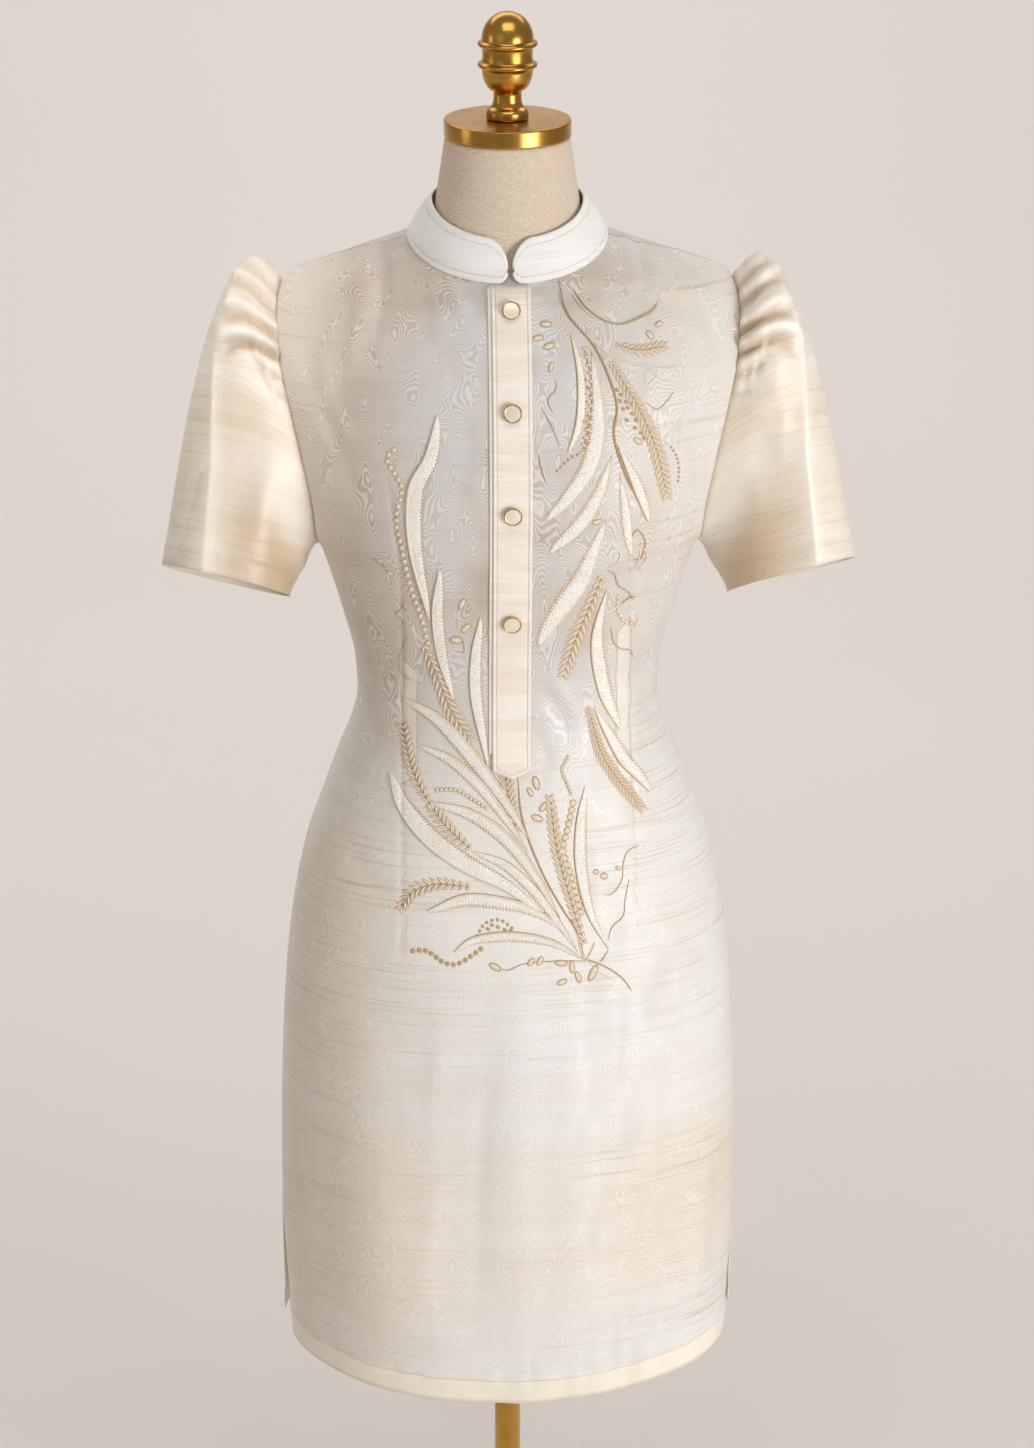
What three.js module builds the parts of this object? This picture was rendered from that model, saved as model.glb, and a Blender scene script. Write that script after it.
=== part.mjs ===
// A short-sleeved filipiniana dress with a band collar and a half placket, standing on a limbless dress form.
// Units are millimetres, +Z is up, -Y is the front, +X is the wearer's left side.
// The origin is on the floor, on the axis of the pole.
//
// Each cloth piece is a wall: a grid of outer points, the same grid moved inwards along its normals, and a rim.
// Rows of the front and back panels run from the centre line out to the side seam or the armhole.

import * as THREE from "three";
import { mergeVertices } from "three/addons/utils/BufferGeometryUtils.js";

// Driving dimensions

const CLOTH = 1.2;
const BAND_CLOTH = 1.5;
const SEAM_GAP = 0.3;

const DRESS = {
  hemSide: 358,
  hemDrop: 23,
  slitTop: 470,
  underarm: 1091,
  columns: 9,
};

// The neckline is an oval that leans forward: the height falls in front of the sides and rises a little behind them.
const NECKLINE = { halfWidth: 82, front: 65, back: 58, sideHeight: 1355, fall: 0.4, rise: 0.12 };
const COLLAR_TOP = { halfWidth: 62, front: 54.5, back: 55, sideHeight: 1385, fall: 0.4, rise: 0.12 };
const COLLAR = { frontGap: 7, lowCorner: 8, highCorner: 21, rows: 4 };

const PLACKET = {
  overWidth: 32,
  underWidth: 31,
  underPeek: 3,
  endHeight: 913,
  pointRise: 7,
  slitWidth: 14,
  slitBottom: 960,
};
const BUTTON = { radius: 7.6, thick: 3.2, shankRadius: 2.6, rimRadius: 0.9 };
const BUTTON_HEIGHTS = [1312, 1236, 1153, 1055];

const SLEEVE = {
  cuffCentre: [235, -40, 1070],
  cuffOut: [53.5, 0, 14.5],
  cuffForward: [0, -44.5, 18],
  puffHeight: 57,
  creaseAngle: 56,
  creaseLift: 0.16,
  creaseSpread: 34,
  rings: 10,
  foldDepth: 5.5,
  foldPitch: 16,
  foldReach: 84,
  headSpacing: 6.6,
  restSpacing: 18,
};

const FORM = {
  columns: 6,
  bottom: 575,
  shoulderGap: 0.7,
  neckGap: 2,
  waistGap: 8,
  armPlate: 4,
  neckFoot: { halfWidth: 60.5, front: 53, back: 52 },
  neckTop: 1436,
  neckTopRadius: 51,
};
const CAP = { radius: 52, thick: 14 };
const POLE = { radius: 11.5, bottom: 24 };
const BASE = { radius: 175, edge: 9, crown: 20, collarRadius: 24, collarHeight: 16 };

const COLOUR = {
  jusi: 0xe9e2d6,
  satin: 0xefe3cb,
  collar: 0xf6f4f1,
  placket: 0xf3e6d4,
  linen: 0xddc9b3,
  brass: 0xc09346,
  buttonFace: 0xe9d9ae,
};

// Tables. Each row is one level of the dress, from the hem up.

// Below the underarm the front and back share a side seam.
// side, front and back are how far the cloth stands from the axis; drop lowers the centre line;
// round is the exponent of the section; steps is how many grid rows lead up to this level.
const SKIRT_ROWS = [
  { z: DRESS.hemSide, side: 199.5, front: 133, back: 130, drop: DRESS.hemDrop, round: 2.15, steps: 0 },
  { z: DRESS.slitTop, side: 201.7, front: 134, back: 131, drop: 9, round: 2.25, steps: 3 },
  { z: 575, side: 200.2, front: 134, back: 133, drop: 0, round: 2.3, steps: 2 },
  { z: 653, side: 197.0, front: 131, back: 134, drop: 0, round: 2.3, steps: 2 },
  { z: 711, side: 192.7, front: 127, back: 132, drop: 0, round: 2.3, steps: 1 },
  { z: 768, side: 185.5, front: 121, back: 126, drop: 0, round: 2.3, steps: 1 },
  { z: 825, side: 173.0, front: 113, back: 115, drop: 0, round: 2.28, steps: 1 },
  { z: 862, side: 160.0, front: 107, back: 106, drop: 0, round: 2.25, steps: 1 },
  { z: 899, side: 147.0, front: 101, back: 97, drop: 0, round: 2.22, steps: 1 },
  { z: 936, side: 132.7, front: 96, back: 90, drop: 0, round: 2.2, steps: 1 },
  { z: 960, side: 128.3, front: 94, back: 87, drop: 0, round: 2.2, steps: 1 },
  { z: 991, side: 130.0, front: 96, back: 88, drop: 0, round: 2.2, steps: 1 },
  { z: 1045, side: 143.0, front: 106, back: 94, drop: 0, round: 2.22, steps: 1 },
  { z: DRESS.underarm, side: 157.0, front: 115, back: 100, drop: 0, round: 2.25, steps: 1 },
];

// Above the underarm each row runs from the centre line, or the neckline, to the armhole.
// depth and height place the inner end; neck is the angle round the neckline, once the row starts there;
// x, y and z place the outer end; wrap is how many degrees of the section's quarter arc the row covers;
// dip is the power by which a row's height goes over from its inner to its outer end.
const FRONT_ROWS = [
  { depth: 121, height: 1128, neck: 0, x: 160, y: 31, z: 1101, round: 2.3, wrap: 80, dip: 1.4, steps: 1 },
  { depth: 124, height: 1165, neck: 0, x: 163, y: 50, z: 1135, round: 2.25, wrap: 74, dip: 1.4, steps: 1 },
  { depth: 121, height: 1205, neck: 0, x: 170, y: 57, z: 1175, round: 2.2, wrap: 70, dip: 1.4, steps: 1 },
  { depth: 112, height: 1245, neck: 0, x: 179, y: 55, z: 1218, round: 2.12, wrap: 66, dip: 1.4, steps: 1 },
  { depth: 94, height: 1288, neck: 0, x: 187, y: 45, z: 1256, round: 2.0, wrap: 66, dip: 1.4, steps: 1 },
  { depth: 65, height: 1329, neck: 0, x: 190, y: 30, z: 1286, round: 1.8, wrap: 70, dip: 1.4, steps: 1 },
  { depth: 0, height: 0, neck: 30, x: 190, y: 18, z: 1300, round: 1.55, wrap: 80, dip: 1.45, steps: 3 },
  { depth: 0, height: 0, neck: 60, x: 188.5, y: 8, z: 1310, round: 1.25, wrap: 85, dip: 1.5, steps: 3 },
  { depth: 0, height: 0, neck: 90, x: 185, y: 0, z: 1316, round: 1.0, wrap: 90, dip: 1.5, steps: 3 },
];
const BACK_ROWS = [
  { depth: 104, height: 1126, neck: 180, x: 160, y: 29, z: 1101, round: 2.3, wrap: 80, dip: 1.4, steps: 1 },
  { depth: 108, height: 1164, neck: 180, x: 163, y: 46, z: 1135, round: 2.25, wrap: 74, dip: 1.4, steps: 1 },
  { depth: 109, height: 1208, neck: 180, x: 169, y: 52, z: 1175, round: 2.2, wrap: 70, dip: 1.4, steps: 1 },
  { depth: 105, height: 1254, neck: 180, x: 178, y: 50, z: 1218, round: 2.15, wrap: 66, dip: 1.3, steps: 1 },
  { depth: 90, height: 1308, neck: 180, x: 186, y: 41, z: 1256, round: 2.05, wrap: 66, dip: 1.15, steps: 1 },
  { depth: 58, height: 1362, neck: 180, x: 189, y: 28, z: 1286, round: 1.8, wrap: 70, dip: 1.0, steps: 1 },
  { depth: 0, height: 0, neck: 150, x: 189.5, y: 17, z: 1300, round: 1.5, wrap: 80, dip: 1.05, steps: 3 },
  { depth: 0, height: 0, neck: 120, x: 188, y: 8, z: 1310, round: 1.2, wrap: 85, dip: 1.2, steps: 3 },
  { depth: 0, height: 0, neck: 90, x: 185, y: 0, z: 1316, round: 1.0, wrap: 90, dip: 1.5, steps: 3 },
];

// The neck of the form: inward is how far a ring has come from the neckline to the neck's foot, rise is its height
// above the neckline, and taper is how far it has come from the foot to the round top.
const NECK_RINGS = [
  { inward: 0, rise: 0, taper: 0 },
  { inward: 0.4, rise: 1.8, taper: 0 },
  { inward: 0.8, rise: 8, taper: 0 },
  { inward: 1, rise: 20, taper: 0 },
  { inward: 1, rise: 20, taper: 0.5 },
  { inward: 1, rise: 20, taper: 1 },
];

// Small maths helpers

const radians = THREE.MathUtils.degToRad;
const lerp = THREE.MathUtils.lerp;
const smooth = (x, low, high) => THREE.MathUtils.smoothstep(x, low, high);
const signedPower = (value, power) => Math.sign(value) * Math.abs(value) ** power;

// A curve through a column of numbers that never overshoots between two of them.
function steadyCurve(values) {
  const last = values.length - 1;
  const step = values.slice(1).map((value, i) => value - values[i]);
  const slope = values.map((_, i) => {
    if (i === 0 || i === last) return 0;
    if (step[i - 1] * step[i] <= 0) return 0;
    return (2 * step[i - 1] * step[i]) / (step[i - 1] + step[i]);
  });
  slope[0] = 1.5 * step[0] - 0.5 * slope[1];
  slope[last] = 1.5 * step[last - 1] - 0.5 * slope[last - 1];
  return (at) => {
    const i = Math.min(last - 1, Math.max(0, Math.floor(at)));
    const t = at - i;
    const rise = 3 * t * t - 2 * t * t * t;
    const lead = t * (1 - t) * (1 - t);
    const trail = -t * t * (1 - t);
    return values[i] + rise * step[i] + lead * slope[i] + trail * slope[i + 1];
  };
}

function straightCurve(values) {
  return (at) => {
    const i = Math.min(values.length - 2, Math.floor(at));
    return lerp(values[i], values[i + 1], at - i);
  };
}

// Fills a table's rows out: every column is carried smoothly from row to row, in as many steps as each row says.
function fillRows(table) {
  const columns = Object.keys(table[0]).filter((key) => key !== "steps");
  const curves = Object.fromEntries(columns.map((key) => {
    const values = table.map((row) => row[key]);
    return [key, key === "neck" ? straightCurve(values) : steadyCurve(values)];
  }));
  const places = [0];
  for (let i = 1; i < table.length; i += 1) {
    for (let k = 1; k <= table[i].steps; k += 1) places.push(i - 1 + k / table[i].steps);
  }
  return places.map((at) => Object.fromEntries(columns.map((key) => [key, curves[key](at)])));
}

// A point of a leaning oval, angle 0 at the front centre, 90 at the +X side, 180 at the back centre.
function ovalPoint(oval, angle) {
  const turn = radians(angle);
  const ahead = Math.cos(turn) > 0;
  const y = -(ahead ? oval.front : oval.back) * Math.cos(turn);
  const height = oval.sideHeight + (ahead ? oval.fall : oval.rise) * y;
  return new THREE.Vector3(oval.halfWidth * Math.sin(turn), y, height);
}

// Panels

// The rows of one whole half panel as { inner, outer, round, wrap, z }, facing = -1 for the front, +1 for the back.
function panelRows(yokeTable, facing) {
  const skirt = SKIRT_ROWS.map((row) => {
    const depth = facing < 0 ? row.front : row.back;
    const neck = facing < 0 ? 0 : 180;
    const { z, side, drop, round, steps } = row;
    return { depth, height: z - drop, neck, x: side, y: 0, z, round, wrap: 90, dip: 1.4, steps };
  });
  // The skirt and the yoke are filled separately, so that the underarm corner stays sharp.
  const lower = fillRows(skirt);
  const upper = fillRows([{ ...skirt[skirt.length - 1], steps: 0 }, ...yokeTable]).slice(1);
  const firstNeckRow = yokeTable.findIndex((row) => row.depth === 0);
  const sharedSteps = yokeTable.slice(0, firstNeckRow).reduce((sum, row) => sum + row.steps, 0);
  return [...lower, ...upper].map((row, index) => {
    const onNeckline = index >= lower.length + sharedSteps - 1;
    const centre = new THREE.Vector3(0, facing * row.depth, row.height);
    const inner = onNeckline ? ovalPoint(NECKLINE, row.neck) : centre;
    return { ...row, inner, outer: new THREE.Vector3(row.x, facing * row.y, row.z), onNeckline };
  });
}

// A point of a row at share 0 (inner end) to 1 (outer end), along part of a superellipse's quarter arc.
function rowPoint(row, share) {
  const power = 2 / row.round;
  const end = radians(row.wrap);
  const turn = end * share;
  const across = Math.sin(turn) ** power / Math.sin(end) ** power;
  const deep = (1 - signedPower(Math.cos(turn), power)) / (1 - signedPower(Math.cos(end), power));
  return new THREE.Vector3(
    lerp(row.inner.x, row.outer.x, across),
    lerp(row.inner.y, row.outer.y, deep),
    lerp(row.inner.z, row.outer.z, share ** row.dip),
  );
}

// The side slits: the front edge turns in and forward, the back edge stands out behind it.
function openSlit(point, share, facing) {
  if (point.z >= DRESS.slitTop) return;
  const amount = Math.min(1, (DRESS.slitTop - point.z) / (DRESS.slitTop - DRESS.hemSide)) * share ** 8;
  point.x -= (facing < 0 ? 8 : -1) * amount;
  point.y += facing * (facing < 0 ? 5 : 4) * amount;
}

// Slow waves of the skirt that grow towards the hem.
function hangWave(point, share, side) {
  const amount = smooth(DRESS.slitTop + 200 - point.z, 0, 300) * Math.sin(Math.PI * share) * 2.2;
  const turn = share * 9 + side * 1.3;
  point.y += Math.sign(point.y) * amount * Math.sin(turn);
}

// One panel, both halves, as points and four-cornered faces.
// The front has a slit under the placket, from slitFrom up to the neckline.
function panelSheet(rows, facing, count, slitFrom = Infinity) {
  const points = [];
  const quads = [];
  const grid = rows.map((row) => {
    const line = [];
    for (let column = -count; column <= count; column += 1) {
      const side = Math.sign(column);
      const share = Math.abs(column) / count;
      const point = rowPoint(row, share);
      openSlit(point, share, facing);
      hangWave(point, share, side);
      point.x *= side;
      if (column === 0 && row.z > slitFrom && Math.abs(row.inner.x) < 1) {
        const half = PLACKET.slitWidth / 2;
        const y = rowDepthAt(row, half);
        line.push([-half, half].map((x) => points.push(new THREE.Vector3(x, y, point.z)) - 1));
      } else if (column === 0 && row.onNeckline && Math.abs(row.inner.x) > 1) {
        const { x, y, z } = row.inner;
        line.push([-x, x].map((end) => points.push(new THREE.Vector3(end, y, z)) - 1));
      } else {
        const one = points.push(point) - 1;
        line.push([one, one]);
      }
    }
    return line;
  });
  for (let r = 0; r < grid.length - 1; r += 1) {
    for (let c = 0; c < 2 * count; c += 1) {
      // Each place holds its point as seen from its left and from its right.
      const corners = [grid[r][c][1], grid[r][c + 1][0], grid[r + 1][c + 1][0], grid[r + 1][c][1]];
      quads.push(facing < 0 ? corners : corners.reverse());
    }
  }
  return { points, quads, grid, rows };
}

// Walls

// Normals of several sheets that share seam points, so that two panels agree along a seam.
function seamNormals(sheets) {
  const sums = new Map();
  const key = (p) => `${Math.round(p.x * 50)},${Math.round(p.y * 50)},${Math.round(p.z * 50)}`;
  for (const { points, quads } of sheets) {
    for (const quad of quads) {
      const [a, b, c, d] = quad.map((i) => points[i]);
      const normal = c.clone().sub(a).cross(d.clone().sub(b));
      for (const p of [a, b, c, d]) {
        if (!sums.has(key(p))) sums.set(key(p), new THREE.Vector3());
        sums.get(key(p)).add(normal);
      }
    }
  }
  return sheets.map(({ points }) => points.map((p) => sums.get(key(p)).clone().normalize()));
}

// A closed wall from a sheet: its outer faces, its inner faces, and a rim along every free edge.
function wallGeometry(outer, inner, quads) {
  const count = outer.length;
  const positions = [...outer, ...inner].flatMap((p) => [p.x, p.y, p.z]);
  const faces = [];
  const edges = new Map();
  for (const [a, b, c, d] of quads) {
    faces.push(a, b, c, a, c, d);
    faces.push(a + count, c + count, b + count, a + count, d + count, c + count);
    for (const [from, to] of [[a, b], [b, c], [c, d], [d, a]]) {
      if (edges.has(`${to},${from}`)) edges.delete(`${to},${from}`);
      else edges.set(`${from},${to}`, [from, to]);
    }
  }
  for (const [from, to] of edges.values()) {
    faces.push(from, to + count, to, from, from + count, to + count);
  }
  const geometry = new THREE.BufferGeometry();
  geometry.setAttribute("position", new THREE.Float32BufferAttribute(positions, 3));
  geometry.setIndex(faces);
  return geometry;
}

const moved = (points, normals, distance) => points.map((p, i) => p.clone().addScaledVector(normals[i], distance));

// Moves a panel's seam points half a gap away from its neighbour.
function partSeams(sheet, facing) {
  for (const point of sheet.points) {
    if (Math.abs(point.y) < 1e-6) point.y += (facing * SEAM_GAP) / 2;
  }
}

// Collar

// The band's columns: angles of the neckline from one front end round the back to the other.
function collarAngles() {
  const start = THREE.MathUtils.radToDeg(Math.asin(COLLAR.frontGap / 2 / NECKLINE.halfWidth));
  const half = [start, start + 1.2, start + 3.5, 10, 14.5, 20];
  for (let angle = 30; angle <= 180; angle += 10) half.push(angle);
  return [...half.map((angle) => -angle), ...half.slice(0, -1).reverse()];
}

// How much of the band's height stands at a distance from its front end, with a small low and a large high corner.
function collarSpan(distance, height) {
  const low = Math.max(0, COLLAR.lowCorner - distance);
  const high = Math.max(0, COLLAR.highCorner - distance);
  const below = COLLAR.lowCorner - Math.sqrt(COLLAR.lowCorner ** 2 - low ** 2);
  const above = COLLAR.highCorner - Math.sqrt(COLLAR.highCorner ** 2 - high ** 2);
  const rise = Math.min(above, height - COLLAR.lowCorner - 3);
  return [below / height, 1 - rise / height];
}

function collarSheet() {
  const points = [];
  const quads = [];
  const angles = collarAngles();
  const across = COLLAR.rows + 1;
  angles.forEach((angle) => {
    const low = ovalPoint(NECKLINE, angle);
    const high = ovalPoint(COLLAR_TOP, angle);
    // The band starts a seam's gap inside the neckline, towards the neck and up.
    low.lerp(new THREE.Vector3(0, 0, low.z), (SEAM_GAP * 1.5) / Math.hypot(low.x, low.y));
    low.z += SEAM_GAP;
    const height = high.distanceTo(low);
    const distance = Math.abs(low.x) < 40 && low.y < 0 ? Math.abs(low.x) - COLLAR.frontGap / 2 : 99;
    const [from, to] = collarSpan(Math.max(0, distance), height);
    for (let row = 0; row < across; row += 1) {
      const share = lerp(from, to, row / COLLAR.rows);
      const point = low.clone().lerp(high, share);
      // The band bulges a little, as a stiff strip bent round a cone does.
      const swell = 1 + (1.6 * Math.sin(Math.PI * share)) / Math.hypot(point.x, point.y);
      point.x *= swell;
      point.y *= swell;
      points.push(point);
    }
  });
  for (let c = 0; c < angles.length - 1; c += 1) {
    for (let row = 0; row < COLLAR.rows; row += 1) {
      const a = c * across + row;
      quads.push([a, a + 1, a + across + 1, a + across]);
    }
  }
  return { points, quads };
}

// Placket

// The front's outer surface near the centre line: its depth and its rows' heights, by height and distance from centre.
function frontLine(rows) {
  const line = rows.filter((row) => !(row.onNeckline && row.neck > 1));
  return (x, z) => {
    let index = line.findIndex((row) => row.inner.z > z) - 1;
    if (index < 0) index = z < line[0].inner.z ? 0 : line.length - 2;
    const low = line[index];
    const high = line[index + 1];
    const t = (z - low.inner.z) / (high.inner.z - low.inner.z);
    return lerp(rowDepthAt(low, x), rowDepthAt(high, x), t);
  };
}

// The y of a row at a distance x from the centre, on the straight faces of the grid.
function rowDepthAt(row, x) {
  for (let column = 1; column <= DRESS.columns; column += 1) {
    const far = rowPoint(row, column / DRESS.columns);
    if (far.x >= Math.abs(x)) {
      const near = rowPoint(row, (column - 1) / DRESS.columns);
      return lerp(near.y, far.y, (Math.abs(x) - near.x) / (far.x - near.x));
    }
  }
  return row.outer.y;
}

// A strip down the front: its middle column bends to a point at the low end.
function placketSheet(depthAt, { left, right, top, bottom, point, lift, levels }) {
  const points = [];
  const quads = [];
  const heights = [bottom, bottom + point * 1.6, ...levels.filter((z) => z > bottom + 20 && z < top - 6), top];
  const xs = [left, left / 2, 0, right / 2, right];
  heights.forEach((z, row) => {
    xs.forEach((x) => {
      const share = 1 - Math.abs(x) / Math.max(-left, right);
      const height = row === 0 ? z + point * (1 - share) : z;
      points.push(new THREE.Vector3(x, depthAt(x, height) - lift, height));
    });
  });
  for (let row = 0; row < heights.length - 1; row += 1) {
    for (let c = 0; c < xs.length - 1; c += 1) {
      const a = row * xs.length + c;
      quads.push([a, a + 1, a + xs.length + 1, a + xs.length]);
    }
  }
  return { points, quads };
}

// Buttons

// A domed disc on a shank, with a raised rim round its face, turned about its own axis and pressed to the placket.
function buttonGeometry() {
  const { radius, thick, shankRadius, rimRadius } = BUTTON;
  const profile = [
    new THREE.Vector2(0, 0),
    new THREE.Vector2(shankRadius, 0),
    new THREE.Vector2(shankRadius, 1.4),
    new THREE.Vector2(radius - 1.4, 1.8),
    new THREE.Vector2(radius, 2.6),
    new THREE.Vector2(radius, 1.4 + thick - 0.7),
    new THREE.Vector2(radius - rimRadius, 1.4 + thick),
    new THREE.Vector2(radius - 2 * rimRadius, 1.4 + thick - 0.6),
    new THREE.Vector2(0, 1.4 + thick - 0.2),
  ];
  return new THREE.LatheGeometry(profile, 16);
}

// Sleeves

// The armhole as one loop of the panels' outer ends: from the shoulder down the front, under, and up the back.
function armholeLoop(frontRows, backRows) {
  const open = (row) => row.z >= DRESS.underarm - 1e-6;
  const front = frontRows.filter(open).map((row) => row.outer.clone()).reverse();
  const back = backRows.filter(open).map((row) => row.outer.clone());
  return [...front, ...back.slice(1, -1)];
}

// The sleeve's columns: every corner of the armhole, with more between them where the folds are gathered.
// Each has its place on the seam and its angle: 0 at the shoulder, 90 front, 180 underarm, 270 back.
function sleeveColumns(loop) {
  const underarm = loop.findIndex((p) => Math.abs(p.z - DRESS.underarm) < 1e-6);
  const lengths = loop.map((p, i) => p.distanceTo(loop[(i + 1) % loop.length]));
  const total = (from, to) => lengths.slice(from, to).reduce((sum, length) => sum + length, 0);
  const frontLength = total(0, underarm);
  const backLength = total(underarm, loop.length);
  const columns = [];
  loop.forEach((corner, i) => {
    const next = loop[(i + 1) % loop.length];
    const onFront = i < underarm;
    const sofar = onFront ? total(0, i) : total(i, loop.length);
    const share = sofar / (onFront ? frontLength : backLength);
    const spacing = share * 180 < SLEEVE.foldReach + 20 ? SLEEVE.headSpacing : SLEEVE.restSpacing;
    const count = Math.max(1, Math.round(lengths[i] / spacing));
    for (let k = 0; k < count; k += 1) {
      const t = k / count;
      const along = onFront ? (sofar + t * lengths[i]) / frontLength : (sofar - t * lengths[i]) / backLength;
      // The angle runs slower in the head, so that the folds sit closer together there.
      const eased = 180 * along ** 0.9;
      columns.push({ place: corner.clone().lerp(next, t), angle: onFront ? eased : 360 - eased, corner: i, t });
    }
  });
  return columns;
}

// One line of the sleeve from the armhole to the cuff: a cubic curve that lifts at the head and hangs at the cuff.
function sleeveLine(start, angle) {
  const turn = radians(angle);
  const ahead = Math.sin(turn);
  const above = Math.cos(turn);
  const fromCrease = Math.abs(THREE.MathUtils.euclideanModulo(angle - SLEEVE.creaseAngle + 180, 360) - 180);
  const swell = 1 + SLEEVE.creaseLift * Math.exp(-fromCrease / SLEEVE.creaseSpread);
  const square = (Math.abs(ahead) ** 2.3 + Math.abs(above) ** 2.3) ** (-1 / 2.3);
  const end = new THREE.Vector3(...SLEEVE.cuffCentre)
    .addScaledVector(new THREE.Vector3(...SLEEVE.cuffOut), above * square * (above > 0 ? 1 : swell))
    .addScaledVector(new THREE.Vector3(...SLEEVE.cuffForward), ahead * square * swell);
  const head = Math.max(0, above);
  const lead = new THREE.Vector3(
    11 + 27 * Math.abs(ahead) + 6 * Math.max(0, -above),
    -ahead * (14 + 22 * head),
    SLEEVE.puffHeight * head ** 1.3 - 8 * Math.max(0, -above),
  );
  const reach = 20 + 242 * ((1 + above) / 2) ** 1.15;
  const trail = new THREE.Vector3(-0.12, 0.28, 0.95).multiplyScalar(reach);
  return new THREE.CubicBezierCurve3(start, start.clone().add(lead), end.clone().add(trail), end);
}

// How far along each ring lies: rings are closer together in the head, where the folds are.
const ringPlace = (ring) => (ring / SLEEVE.rings) ** 1.35;

// The depth of the gathered folds: none at the seam, deepest just past it, gone by mid-sleeve.
function foldDepth(angle, place) {
  const near = THREE.MathUtils.euclideanModulo(angle + 180, 360) - 180;
  const inReach = 1 - smooth(Math.abs(near), SLEEVE.foldReach - 12, SLEEVE.foldReach + 2);
  const along = smooth(place, 0.0, 0.1) * (1 - smooth(place, 0.12, 0.46));
  return SLEEVE.foldDepth * inReach * along * Math.cos((near / SLEEVE.foldPitch) * 2 * Math.PI);
}

// The +X sleeve as a sheet of rings; the first ring is a seam's gap away from the armhole.
function sleeveSheet(columns) {
  const lines = columns.map(({ place, angle }) => sleeveLine(place, angle));
  const points = [];
  const quads = [];
  for (let ring = 0; ring <= SLEEVE.rings; ring += 1) {
    for (const line of lines) points.push(line.getPoint(ringPlace(ring)));
  }
  const count = columns.length;
  for (let ring = 0; ring < SLEEVE.rings; ring += 1) {
    for (let i = 0; i < count; i += 1) {
      const a = ring * count + i;
      const b = ring * count + ((i + 1) % count);
      quads.push([a, b, b + count, a + count]);
    }
  }
  const [normals] = seamNormals([{ points, quads }]);
  points.forEach((point, i) => {
    const ring = Math.floor(i / count);
    point.addScaledVector(normals[i], foldDepth(columns[i % count].angle, ringPlace(ring)));
  });
  return { points, quads };
}

// Moves the first ring a seam's gap away from the panels, along their surface and outwards.
function partArmhole(sheet, columns, loop, loopNormals) {
  const away = loop.map((p, i) => {
    const ahead = loop[(i + 1) % loop.length].clone().sub(p).normalize();
    return loopNormals[i].clone().add(loopNormals[(i + 1) % loop.length]).cross(ahead).normalize();
  });
  columns.forEach(({ corner, t }, i) => {
    const before = away[(corner + loop.length - 1) % loop.length];
    const after = away[corner];
    const middle = before.clone().add(after).normalize();
    const mitre = middle.multiplyScalar(1 / Math.max(0.6, middle.dot(after)));
    sheet.points[i].addScaledVector(t > 0 ? after : mitre, SEAM_GAP + 0.1);
  });
}

// Dress form

// The torso follows the inside of the dress: close on the shoulders, loose at the waist and hips.
function formGap(row, share) {
  const chest = lerp(FORM.shoulderGap, 3.5, smooth(1316 - row.z, 0, 60)) + FORM.neckGap * (1 - share) ** 3;
  if (row.z >= DRESS.underarm) return chest;
  return lerp(FORM.waistGap, 3.5, smooth(row.z, 980, DRESS.underarm));
}

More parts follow.
